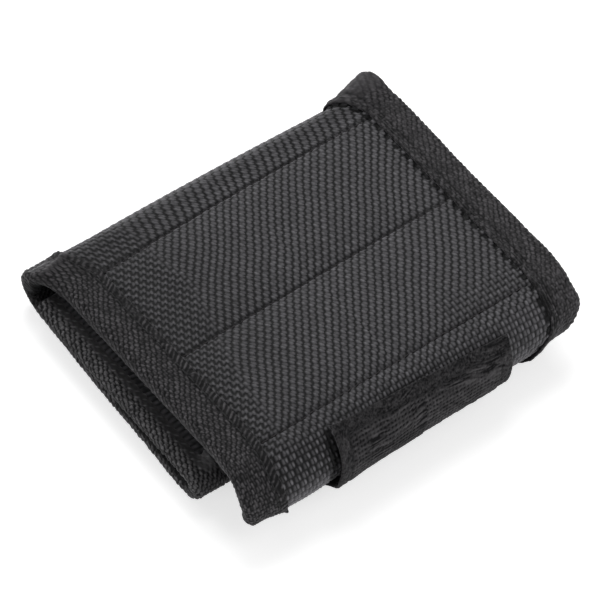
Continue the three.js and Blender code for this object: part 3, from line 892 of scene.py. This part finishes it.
def tape_shade(t, side, label, run, tone):
    """Tone of a tape: speckled, painted sheen and highlight on the rear corners, painted shade in its dents
    and inside the fold.
    """
    S, Q, angle, speckle = t.S, t.Q, fold_angle(t.S), SPECKLE[label]
    tone = tone * (1 + 0.5 * speckle * noise(Q, S, 0.34, 29)) * (1 + 0.45 * speckle * noise(Q, S, 0.75, 38))
    # Painted sheen on the rear corners and a painted highlight along the left crease; pulled yarns are
    # darkened as painted shade.
    sheen_veil = 0.4 * bump(angle, 34, 42)
    if side < 0:
        sheen_veil = 0.45 * t.crease + 0.28 * bump(angle, 52, 30) * (1 - step(Q, 9.0, 12.0))
    tone = mix(tone * (1 - 0.55 * t.pulled), 0.95, sheen_veil)
    gain = TAPE_GAIN_UNSEEN
    if run in SEEN_RUNS:
        gain = TAPE_GAIN[label] * (1 + 0.15 * step(S, S_FRONT, S_FRONT + 6))
    # Painted shade on the turned-in face inside the fold; the flap's top gives way to painted light.
    in_fold = between(S, S_FOLD - 14, S_FOLD - 6, S_PANEL, S_PANEL + 6) * step(-t.H, 0.3 * STACK, 0.9 * STACK)
    tone = crisp(tone, 0.3) * gain * (1 - 0.8 * in_fold) * (1 - t.flap_top)
    # Painted shade in the dents along the stitch line.
    tone = tone * (0.8 + 0.2 * t.rim) * (1 - 0.45 * t.sewn) * (1 + 0.12 * noise(Q, S, 2.0, 16))
    shade = np.clip(tone, 0, 1)
    return flap_shade(t, shade) if gap_lit_tape(side, run) else shade


def tape(side, label, run, s0, s1, how):
    """One piece of an edge tape, folded round the band's edge."""
    t = tape_grid(side, run, s0, s1)
    relief, tone = tape_weave(t, side, run)
    points = tape_points(t, side, label, run, relief)
    shade = tape_shade(t, side, label, run, tone)
    material = M_FLAP_TAPE_LIT if gap_lit_tape(side, run) else M_TAPE
    quads = grid_quads(*t.Q.shape)[:, ::side]
    obj = mesh_object(f"tape_{label}_{run}", points, quads, material, shade, (t.Q, t.S))
    settle(obj, "tape", how, f"binding_{label}_{TAPE_NODES[run]}")


for side, label in SIDES:
    for run, s0, s1, how in RUNS:
        tape(side, label, run, s0, s1, how)


# Hems at the band's two ends

HEM_HALF, HEM_PITCH, HEM_RELIEF = INNER_HALF + 1, 0.3, 0.12
HEM_FLAT_STOPS, HEM_TURN_STOPS = 40, 26


def end_hem(name, s_end, sign, reach, proud, material):
    """A strip folded over an end of the band. sign is the way from the end into the band."""
    r = (STACK + 2 * proud) / 2
    flat = np.linspace(reach, r * 0.6, HEM_FLAT_STOPS)
    turn = np.linspace(0, math.pi, HEM_TURN_STOPS)[1:-1]
    tuck = [reach + 0.1]
    along = np.concatenate([tuck, flat, r * 0.6 - r * np.sin(turn), flat[::-1], tuck])
    outer, inner = np.full(len(flat), proud), np.full(len(flat), -STACK - proud)
    height = np.concatenate([[-0.1], outer, -STACK / 2 + r * np.cos(turn), inner, [-STACK + 0.1]])
    q = np.concatenate([[0], np.cumsum(np.hypot(np.diff(along), np.diff(height)))])
    u = spaced(-HEM_HALF, HEM_HALF, HEM_PITCH)
    Q, U = grid(q, u)
    D, H = (np.broadcast_to(column[:, None], Q.shape) for column in (along, height))
    relief, _ = weave(U, Q, TAPE_WARP, TAPE_WEFT * 0.8)
    facing = np.where(H > -STACK / 2, 1.0, -1.0)
    points = place(U, s_end + sign * D, H + HEM_RELIEF * (relief - 0.55) * facing)
    return mesh_object(name, points, grid_quads(*U.shape)[:, ::-sign], material, relief, (U, Q))


flap_hem = end_hem("hem_flap", -FLAP_MORE, 1, 6.0, TAPE_PROUD, M_TAPE)
settle(flap_hem, "tape", ("inner_roll",), "end_hem_inner_flap")
front_hem = end_hem("hem_front", S_END, -1, 5.0, 0.25, M_SHELL)
settle(front_hem, "shell", ("front_roll",))


# Stitches

RISE = np.array([-0.22, 0.02, 0.10, 0.12, 0.10, 0.02, -0.22])
ALONG = np.array([0.0, 0.12, 0.3, 0.5, 0.7, 0.88, 1.0])
STITCH_PITCH, STITCH_LENGTH = 2.5, 2.1
THREAD_R, SEAM_THREAD_R = 0.17, 0.14
THREAD_SIDES, THREAD_END = 6, 0.35
SEW_AT, SEW_SINK = 37.6, 0.10
HEM_SEW_AT = 4.6 - FLAP_MORE


def stitch_stops(start, stop, pitch=STITCH_PITCH, length=STITCH_LENGTH):
    """Distance of each point of each stitch in a row."""
    return np.arange(start, stop - length, pitch)[:, None] + length * ALONG[None]


def stitch_mesh(name, centres, normals, radius, material):
    """Short tubes along rows of points: centres and normals are stitch by point by 3."""
    count, length = centres.shape[:2]
    tangent = np.gradient(centres, axis=1)
    tangent /= np.linalg.norm(tangent, axis=2, keepdims=True)
    side = np.cross(tangent, normals)
    side /= np.linalg.norm(side, axis=2, keepdims=True)
    up = np.cross(side, tangent)
    angle = (np.arange(THREAD_SIDES) * TURN / THREAD_SIDES)[:, None]
    taper = np.ones(length)
    taper[[0, -1]] = THREAD_END
    circle = np.cos(angle) * side[:, :, None] + np.sin(angle) * up[:, :, None]
    ring = centres[:, :, None] + radius * taper[None, :, None, None] * circle
    return mesh_object(name, ring, tube_quads(count, length, THREAD_SIDES), material)


def sew(name, U, S, H, how, facing=1, radius=THREAD_R, material=M_THREAD):
    """A row of stitches on the band. facing is 1 on its outer side and -1 on its skin side."""
    H = H + facing * RISE[None]
    centres = place(U, S, H)
    normals = place(U, S, H + 0.1 * facing) - centres
    return settle(stitch_mesh(name, centres, normals, radius, material), "tape", how)


def sew_tape(side, label, run, s0, s1, how):
    """The rows of stitches on a tape's two faces."""
    S = stitch_stops(s0 + 0.6, s1)
    lean, stand = hood(side, S, SEW_AT)
    swell = flare(side * SEW_AT, S) + front_bulge(side * SEW_AT, S)
    U, proud = side * (SEW_AT + lean), TAPE_PROUD - SEW_SINK
    thread = M_SEAM_THREAD if run == "inner_roll" else M_THREAD
    sew(f"stitch_binding_{label}_{run}", U, S, swell + stand + proud, how, material=thread)
    sew(f"stitch_binding_in_{label}_{run}", U, S, swell + stand * 0.35 - proud - stack_at(S), how, facing=-1)


def sew_seam(name, number, how):
    """The stitches of a line across the panel."""
    U = stitch_stops(-INNER_HALF + 0.3, INNER_HALF - 0.2)
    S = S_PANEL + seam_lines(U)[number]
    sew(name, U, S, skin_lift(U, S) - 0.02, how, radius=SEAM_THREAD_R, material=M_SEAM_THREAD)


for side, label in SIDES:
    for run, s0, s1, how in RUNS:
        sew_tape(side, label, run, s0, s1, how)
sew_seam("stitch_seam_rear", 0, ("upper_panel",))
sew_seam("stitch_seam_middle", 1, ("upper_panel",))
sew_seam("stitch_seam_front", 2, FRONT_JOINT)
sew("stitch_end_hem", stitch_stops(-INNER_HALF, INNER_HALF), HEM_SEW_AT, TAPE_PROUD - 0.05, ("inner_roll",))


# Strap: loop tape with a sewn border, turned round the front roll's end

STRAP_PITCH, KNIT_ROW, KNIT_COLUMN = 0.15, 1.02, 0.95
STRAP_THICK, STRAP_SINK, STRAP_UNDER_SHADE = 1.0, 0.25, 0.3
STRAP_INSET = 3.2
STRAP_STITCH_PITCH, STRAP_STITCH_LENGTH, STRAP_THREAD_R = 2.4, 2.0, 0.12
STRAP_FROM, STRAP_SPLIT, STRAP_TO, STRAP_SEWN_TO = 30 * RAD, 107 * RAD, 152 * RAD, 150 * RAD
BEND_REACH = 1.6
ROOT_TURN, ROOT_END, ROOT_R = 172 * RAD, 135 * RAD, 4.3


def strap_place(w, angle, r):
    """Point on the strap at w across, an angle round the roll and a distance from the roll's middle."""
    edge_up = 0.45 * step(-w, 17, 24) + 0.9 * step(-w, 18.5, 24) * (1 - step(angle, 0.9, 1.7))
    swell = 0.7 * step(-w, -10, 24) * step(angle, 0.6, 1.5)
    r = r + (swell + edge_up) * (1 - step(angle, 1.95, 2.45))
    x = PANEL_X + STRAP_NARROW * w + strap_shift(angle) - FRONT_SLIDE
    return np.stack([x, PIVOT_Y + FRONT_Y - r * np.sin(angle), FRONT_Z + r * np.cos(angle)], -1)


def strap_tip(w):
    """Angle of the strap's free end from straight up: it sits a little askew."""
    return (29.0 + 7.0 * w / STRAP_HALF) * RAD


def strap_pile(W, arc, border):
    """Relief and fuzz of the strap's loops: knitted, combed to hair near the tip, felted on the border."""
    lay = arc - 0.18 * W + 4.2 * noise(W, arc, 10, 21) + 0.7 * noise(W, arc, 4, 37)
    rows = 0.5 + 0.5 * ripple(arc + 0.22 * noise(W, arc, 5, 22), KNIT_ROW)
    columns = 0.5 + 0.5 * ripple(W + 0.25 * noise(W, arc, 4, 27), KNIT_COLUMN)
    knit = 0.35 - 0.9 * rows * (0.35 + 0.65 * columns)
    hair = 0.7 * noise(0.22 * W, 2.3 * lay, 0.8, 23) + 0.5 * noise(0.5 * W + 0.4 * lay, 2.6 * lay, 0.8, 46)
    fuzz = 0.6 * noise(W, arc, 0.24, 24) + 0.5 * noise(W, arc, 0.55, 44)
    combed = step(noise(W, arc, 7, 26) + 0.5 + 0.015 * W - 0.09 * (arc - 9), -0.2, 0.35)
    cloud = 0.13 * noise(0.6 * W, 1.4 * arc, 4.5, 36)
    pile = 0.42 + cloud + mix(0.5 * knit + 0.2 * hair, 0.62 * hair + 0.2 * knit, combed) + 0.2 * fuzz
    felt = 0.40 + 0.34 * fuzz + 0.25 * combed * hair
    return np.clip(mix(pile, felt, border), 0, 1), fuzz


def strap_piece(name, start, end, how, node, tip=False):
    """A piece of the strap between two angles round the roll."""
    w = spaced(-STRAP_HALF, STRAP_HALF, STRAP_PITCH)
    rows = int(round((end - start) * STRAP_R / STRAP_PITCH)) + 1
    T, W = grid(np.linspace(0, 1, rows), w)
    first = strap_tip(W) if tip else start
    angle = first + (end - first) * T
    arc, from_tip = angle * STRAP_R, (angle - strap_tip(W)) * STRAP_R
    inside = np.minimum(STRAP_HALF - np.abs(W), from_tip)
    border = 1 - step(inside, 2.8, 3.8)
    sewn = bump(inside, STRAP_INSET, 0.35)
    relief, fuzz = strap_pile(W, arc, border)
    pile = 0.22 + 0.3 * (relief - 0.5) + 0.1 * noise(W, arc, 5, 25)
    round_edge = 0.32 * (1 - rounded(inside, 0.5))
    r = STRAP_R - STRAP_SINK + mix(pile, 0.05 + 0.14 * fuzz, border) - 0.1 * sewn - round_edge
    top = strap_place(W, angle, r)
    under = strap_place(W, angle, STRAP_R - STRAP_THICK + 0.2 * (1 - np.clip(inside / 0.5, 0, 1)))
    # Painted shadow under the strap's lifted tip near its right end.
    tip_gap_shadow = bump(W, 19.0, 2.0) * bump(from_tip, 0.6, 0.6)
    dim = (1 - 0.3 * sewn) * (0.8 + 0.2 * step(from_tip, 3.0, 4.6)) * (1 - 0.6 * tip_gap_shadow)
    shade = np.clip(crisp(relief, 0.25), 0, 1) * dim
    # The underside and edge walls are dark, painted shade on the strap's standing edge.
    shade = np.concatenate([shade.ravel(), np.full(W.size, STRAP_UNDER_SHADE)])
    obj = mesh_object(name, layers(top, under), slab_quads(*W.shape), M_LOOP, shade, (W, arc))
    return settle(obj, "loop", how, node)


def strap_point(degrees, slide):
    """A point in the middle of the strap's thickness, slid along it from an angle round the roll."""
    angle, r = degrees * RAD, STRAP_R - STRAP_THICK / 2
    y = PIVOT_Y + FRONT_Y - r * math.sin(angle) - slide * math.cos(angle)
    return (0, y, FRONT_Z + r * math.cos(angle) - slide * math.sin(angle))


def strap_root():
    """The strap's end, folded round the front roll's end and sewn inside it."""
    stops = np.linspace(0, 1, 14)
    mid_r, half = (STRAP_R + ROOT_R) / 2, (STRAP_R - ROOT_R) / 2
    outer = [(STRAP_TO + (ROOT_TURN - STRAP_TO) * t, STRAP_R) for t in stops]
    bends = np.linspace(0, math.pi, 18)[1:-1]
    turn = [(ROOT_TURN + half * math.sin(a) / mid_r, mid_r + half * math.cos(a)) for a in bends]
    inner = [(ROOT_TURN - (ROOT_TURN - ROOT_END) * t, ROOT_R) for t in stops]
    path = np.array([(-r * math.sin(a), r * math.cos(a)) for a, r in outer + turn + inner])
    tangent = np.gradient(path, axis=0)
    tangent /= np.linalg.norm(tangent, axis=1, keepdims=True)
    normal = np.stack([-tangent[:, 1], tangent[:, 0]], 1)
    if np.dot(normal[0], path[0]) < 0:
        normal = -normal
    w = spaced(-STRAP_HALF, STRAP_HALF, 0.5)
    faces = []
    for depth in (STRAP_SINK, STRAP_THICK):
        y, z = (path - normal * depth).T
        Y, X = grid(PIVOT_Y + FRONT_Y + y, PANEL_X + w - FRONT_SLIDE)
        faces.append(np.stack([X, Y, np.broadcast_to((FRONT_Z + z)[:, None], X.shape)], -1))
    relief = 0.5 + 0.3 * np.random.default_rng(31).uniform(-1, 1, 2 * X.size)
    obj = mesh_object("strap_turn", layers(*faces), slab_quads(*X.shape), M_LOOP, relief)
    settle(obj, "loop", ("front_roll",), "strap_root")


def strap_stops(start, stop):
    """Distance of each point of each stitch in a row on the strap."""
    return stitch_stops(start, stop, STRAP_STITCH_PITCH, STRAP_STITCH_LENGTH)


def sew_strap(name, W, angle, how):
    """A row of stitches on the strap's border."""
    r = STRAP_R - 0.34 + RISE[None] * 0.8
    centres = strap_place(W, angle, r)
    normals = strap_place(W, angle, r + 0.1) - centres
    settle(stitch_mesh(name, centres, normals, STRAP_THREAD_R, M_THREAD), "loop", how)


TAIL_JOINT = ("strap_tail", "strap_bend", strap_point(84, -BEND_REACH), strap_point(84, BEND_REACH))
ROOT_JOINT = ("strap_bend", "front_roll", strap_point(130, -BEND_REACH), strap_point(130, BEND_REACH))
strap_piece("strap_upper", STRAP_FROM, STRAP_SPLIT, TAIL_JOINT, "strap_tail", tip=True)
strap_piece("strap_lower", STRAP_SPLIT, STRAP_TO, ROOT_JOINT, "strap_bend")
strap_root()

tip_row = strap_stops(-STRAP_HALF + STRAP_INSET, STRAP_HALF - STRAP_INSET)
sew_strap("stitch_strap_tip", tip_row, strap_tip(tip_row) + STRAP_INSET / STRAP_R, ("strap_tail",))
for side, label in SIDES:
    tip = strap_tip(side * STRAP_HALF) * STRAP_R + STRAP_INSET
    upper = strap_stops(tip, STRAP_SPLIT * STRAP_R) / STRAP_R
    lower = strap_stops(STRAP_SPLIT * STRAP_R, STRAP_SEWN_TO * STRAP_R) / STRAP_R
    for part, angle, how in (("upper", upper, TAIL_JOINT), ("lower", lower, ROOT_JOINT)):
        W = np.full(angle.shape, side * (STRAP_HALF - STRAP_INSET))
        sew_strap(f"stitch_strap_{label}_{part}", W, angle, how)


# Patches of the fastening: loops on the front roll and on the lower layer, hooks under the strap

LOOP_PITCH, LOOP_HEIGHT = 0.35, 0.38
LOWER_LOOP_HALF, LOWER_LOOP_REACH = 24, 22
FRONT_LOOP_HALF, FRONT_LOOP_FROM, FRONT_LOOP_TO = 22, 34 * RAD, 126 * RAD
HOOK_BASE_HALF, HOOK_BASE_PITCH, HOOK_HALF, HOOK_PITCH = 23, 0.5, 22.2, 1.5
HOOK_LIFT = np.array([0.0, 0.28, 0.42, 0.40, 0.26])
HOOK_LEAN = np.array([0.0, 0.02, 0.14, 0.30, 0.38])
HOOK_R, HOOK_SIDES = 0.075, 4


def box_mm(node):
    """Low and high corner of a CAD node."""
    return (np.array(corner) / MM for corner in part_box(node))


def loop_field(name, s0, s1, half, how, node, seed, askew=False):
    """A patch of loops on the cloth, which lies askew under the strap."""
    S, U = grid(spaced(s0, s1, LOOP_PITCH), spaced(-half, half, LOOP_PITCH))
    shift = strap_shift(roll_angle(S)) if askew else 0.0
    edge = np.minimum(np.minimum(U - U.min(), U.max() - U), np.minimum(S - S.min(), S.max() - S))
    pile = step(edge, 0.0, 0.8)
    tufts = 0.5 + 0.3 * noise(U, S, 0.8, seed) + 0.3 * noise(U, S, 0.45, seed + 1)
    relief = np.clip(tufts, 0, 1) * (0.4 + 0.6 * pile)
    h = skin_lift(U + shift, S) - 0.05 + pile * (LOOP_HEIGHT + 0.3 * (relief - 0.4))
    obj = mesh_object(name, place(U + shift, S, h), grid_quads(*U.shape), M_LOOP, relief, (U, S))
    settle(obj, "loop", how, node)


def hooks(name, start, end, body, node):
    """A woven base with rows of small bent hooks that point at the roll."""
    arc0, arc1 = start * STRAP_R, end * STRAP_R
    base_rows = spaced(arc0, arc1, HOOK_BASE_PITCH) / STRAP_R
    angle, W = grid(base_rows, spaced(-HOOK_BASE_HALF, HOOK_BASE_HALF, HOOK_BASE_PITCH))
    base = strap_place(W, angle, STRAP_R - STRAP_THICK - 0.02)
    hook_rows = np.arange(arc0 + 0.7, arc1 - 0.6, HOOK_PITCH) / STRAP_R
    at, across = grid(hook_rows, np.arange(-HOOK_HALF, HOOK_HALF + 0.1, HOOK_PITCH))
    at, across = at.reshape(-1, 1), across.reshape(-1, 1)
    way = np.where(np.arange(len(at)) % 2 == 0, 1.0, -1.0)[:, None]
    stems = strap_place(across + way * HOOK_LEAN, at, STRAP_R - STRAP_THICK - HOOK_LIFT)
    turn = np.arange(HOOK_SIDES) * TURN / HOOK_SIDES
    circle = HOOK_R * np.stack([np.sin(turn), np.cos(turn), 0 * turn], -1)
    rings = stems[:, :, None] + circle
    tubes = tube_quads(len(at), len(HOOK_LIFT), HOOK_SIDES, W.size)
    quads = np.concatenate([grid_quads(*W.shape), tubes])
    obj = mesh_object(name, layers(base, rings), quads, M_HOOK)
    settle(obj, "hook", (body,), node)


low, high = box_mm("loop_patch_lower")
s_lower = S_FOLD - PIVOT_Y + (low[1] + high[1]) / 2
loop_field("loops_lower", s_lower - LOWER_LOOP_REACH, s_lower + LOWER_LOOP_REACH, LOWER_LOOP_HALF,
           ("inner_roll",), "loop_patch_lower", seed=41)
loop_field("loops_front", along_roll(FRONT_LOOP_FROM), along_roll(FRONT_LOOP_TO), FRONT_LOOP_HALF,
           ("front_roll",), "loop_patch_front_roll", seed=43, askew=True)
hooks("hooks_tail", 36 * RAD, 82 * RAD, "strap_tail", "hook_patch_tail")
hooks("hooks_bend", 86 * RAD, 124 * RAD, "strap_bend", "hook_patch_bend")


# Filling: foam pads, and the magnets in their foam carriers

PAD_TOP, PAD_LOW, PAD_PITCH, PAD_ROUND, PAD_FILL = -0.85, -1.95, 1.2, 1.2, 0.7
PAD_HALF, FRONT_PAD_HALF, FRONT_PAD_END = 34.6, 32.6, 142 * RAD
WINDOW_ROOM, WINDOW_HALF, CARRIER_MARGIN = 0.3, 10.3, 1.6
CARRIER_MID, CARRIER_HALF, CARRIER_PITCH, CARRIER_ROUND, CARRIER_FILL = -1.8, 1.0, 0.8, 1.0, 0.9
MAGNETS_IN_ROW = 5


def pad(name, s0, s1, half, body, node):
    """A soft slab with rounded edges."""
    S, U = grid(spaced(s0, s1, PAD_PITCH), spaced(-half, half, PAD_PITCH))
    inside = np.minimum(half - np.abs(U), np.minimum(S - s0, s1 - S))
    mid, rise = (PAD_TOP + PAD_LOW) / 2, (PAD_TOP - PAD_LOW) / 2 * rounded(inside, PAD_ROUND)
    quads = np.concatenate([grid_quads(*U.shape), grid_quads(*U.shape, U.size)[:, ::-1]])
    obj = mesh_object(name, layers(place(U, S, mid + rise), place(U, S, mid - rise)), quads, M_FOAM)
    settle(obj, "foam", (body,), node)


def stops_through(marks, pitch):
    """Stops about a pitch apart that include every mark."""
    pieces = [spaced(a, b, pitch) for a, b in zip(marks, marks[1:])]
    return np.unique(np.concatenate(pieces).round(6))


def window_walls(solid, idx, n):
    """Faces round each window, from the upper face's points to the lower face's."""
    walls = []
    for r, c in np.argwhere(~solid):
        corners = idx[r, c], idx[r, c + 1], idx[r + 1, c + 1], idx[r + 1, c]
        beside = (r - 1, c), (r, c + 1), (r + 1, c), (r, c - 1)
        for k, cell in enumerate(beside):
            a, b = corners[k], corners[(k + 1) % 4]
            if solid[cell]:
                walls.append((a, b, b + n, a + n))
    return np.array(walls)


def carrier(name, d0, d1, node, magnets):
    """A foam sheet in a pocket, with rounded outer edges and a window for each magnet."""
    low, high = box_mm(node)
    half, mid_u, mid_d = (high[0] - low[0]) / 2, (high[0] + low[0]) / 2, (d0 + d1) / 2
    spans = []
    for magnet in magnets:
        left, right = (corner[0] - mid_u for corner in box_mm(magnet))
        spans.append((left - WINDOW_ROOM, right + WINDOW_ROOM))
    spans.sort()
    u = stops_through([-half, *(x for span in spans for x in span), half], CARRIER_PITCH)
    d = stops_through([d0, mid_d - WINDOW_HALF, mid_d + WINDOW_HALF, d1], CARRIER_PITCH)
    D, U = grid(d, u)
    inside = np.minimum(half - np.abs(U), np.minimum(D - d0, d1 - D))
    rise = CARRIER_HALF * rounded(inside, CARRIER_ROUND)
    top, under = (place(U, S_PANEL + D, CARRIER_MID + way * rise) for way in (1, -1))
    cell_u, cell_d = (u[:-1] + u[1:]) / 2, (d[:-1] + d[1:]) / 2
    in_u = np.any([(cell_u > a) & (cell_u < b) for a, b in spans], axis=0)
    in_d = np.abs(cell_d - mid_d) < WINDOW_HALF
    solid = ~(in_d[:, None] & in_u[None])
    faces = grid_quads(*U.shape).reshape(*solid.shape, 4)[solid]
    walls = window_walls(solid, np.arange(U.size).reshape(U.shape), U.size)
    quads = np.concatenate([faces, (faces + U.size)[:, ::-1], walls])
    obj = mesh_object(name, layers(top, under), quads, M_FOAM)
    settle(obj, "foam", ("upper_panel",), node)


pad("foam_flap", 7.0, S_NOSE - 0.6, PAD_HALF, "inner_roll", "pad_inner_flap")
pad("foam_lower", S_LOWER + 0.6, S_FOLD - 1.0, PAD_HALF, "inner_roll", "pad_lower")
pad("foam_front", S_FRONT + 0.6, along_roll(FRONT_PAD_END), FRONT_PAD_HALF, "front_roll", "pad_front_roll")
for label, first, last in (("rear", SEAM_REAR, SEAM_MIDDLE), ("front", SEAM_MIDDLE, SEAM_FRONT)):
    magnets = [f"magnet_{label}_{k + 1}" for k in range(MAGNETS_IN_ROW)]
    carrier(f"foam_carrier_{label}", first + CARRIER_MARGIN, last - CARRIER_MARGIN,
            f"magnet_carrier_{label}", magnets)
    for name in magnets:
        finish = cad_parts[name].data.materials
        finish.clear()
        finish.append(M_MAGNET)


# Camera, fitted to the photo

AZIMUTH, ELEVATION, DISTANCE = -36.0027 * RAD, 54.4692 * RAD, 1.5
TARGET = np.array([-0.4586, 0.9505, 8.0]) * MM
LENS, SENSOR, FAR_CLIP = 413.67, 36.0, 20

back = np.array([
    math.sin(AZIMUTH) * math.cos(ELEVATION), -math.cos(AZIMUTH) * math.cos(ELEVATION), math.sin(ELEVATION)])
camera_data = bpy.data.cameras.new("camera")
camera_data.lens = LENS
camera_data.sensor_width = SENSOR
camera_data.clip_end = FAR_CLIP
camera = bpy.data.objects.new("camera", camera_data)
camera.location = TARGET + DISTANCE * back
camera.rotation_euler = (math.pi / 2 - ELEVATION, 0, AZIMUTH)
bpy.context.scene.collection.objects.link(camera)
bpy.context.scene.camera = camera


# Lights, each with its place and size in metres and its power in watts

LIGHTS = (
    ("key", (0.30, 0.45, 0.80), 0.5, 4.85),
    ("fill", (0.05, -0.90, 0.06), 0.5, 5.0),
    ("left", (-0.85, -0.10, 0.13), 0.4, 3.0),
    ("rim", (-0.12, 0.90, 0.24), 0.5, 3.6),
    ("side", (0.65, -0.40, 0.55), 0.5, 1.5),
)


def area_light(name, at, size, power):
    """A square light that faces the band."""
    data = bpy.data.lights.new(name, "AREA")
    data.size = size
    data.energy = power
    lamp = bpy.data.objects.new(name, data)
    lamp.location = at
    x, y, z = at
    lamp.rotation_euler = (math.atan2(math.hypot(x, y), z), 0, math.atan2(-y, -x) - math.pi / 2)
    bpy.context.scene.collection.objects.link(lamp)


for light in LIGHTS:
    area_light(*light)


# White ground: the world and the floor are white to the rays that show them, and dimmer as light on the band

WORLD_LIGHT, WORLD_SEEN = 0.18, 1.0
FLOOR_GREY, FLOOR_ROUGHNESS, FLOOR_GLOW = (0.7, 0.7, 0.7, 1), 0.9, 0.62
FLOOR_HALF, FLOOR_Z = 3.0, -0.0003
WHITE = (1, 1, 1, 1)


def seen_rays(tree):
    """1 for camera, glossy and transmission rays, and 0 for the rays that carry light."""
    path = shader_node(tree, "LightPath")
    seen = path.outputs["Is Camera Ray"]
    for name in ("Is Glossy Ray", "Is Transmission Ray"):
        either = shader_node(tree, "Math")
        either.operation = "MAXIMUM"
        tree.links.new(seen, either.inputs[0])
        tree.links.new(path.outputs[name], either.inputs[1])
        seen = either.outputs[0]
    return seen


world = bpy.data.worlds.new("studio")
world.use_nodes = True
bpy.context.scene.world = world
world_tree = world.node_tree
level = shader_node(world_tree, "MapRange", To_Min=WORLD_LIGHT, To_Max=WORLD_SEEN)
world_tree.links.new(seen_rays(world_tree), level.inputs["Value"])
background = set_inputs(world_tree.nodes["Background"], Color=WHITE)
world_tree.links.new(level.outputs["Result"], background.inputs["Strength"])

floor_material = bpy.data.materials.new("studio_floor")
floor_material.use_nodes = True
floor_tree = floor_material.node_tree
floor_bsdf = set_inputs(floor_tree.nodes["Principled BSDF"], Base_Color=FLOOR_GREY,
                        Roughness=FLOOR_ROUGHNESS, Emission_Color=WHITE)
glow = shader_node(floor_tree, "Math")
glow.operation = "MULTIPLY"
glow.inputs[1].default_value = FLOOR_GLOW
floor_tree.links.new(seen_rays(floor_tree), glow.inputs[0])
floor_tree.links.new(glow.outputs[0], floor_bsdf.inputs["Emission Strength"])
floor_mesh = bpy.data.meshes.new("floor")
floor_corners = [(x * FLOOR_HALF, y * FLOOR_HALF, FLOOR_Z) for x, y in ((-1, -1), (1, -1), (1, 1), (-1, 1))]
floor_mesh.from_pydata(floor_corners, [], [(0, 1, 2, 3)])
floor_mesh.materials.append(floor_material)
floor = bpy.data.objects.new("floor", floor_mesh)
bpy.context.scene.collection.objects.link(floor)

bpy.context.scene.view_settings.view_transform = "Standard"
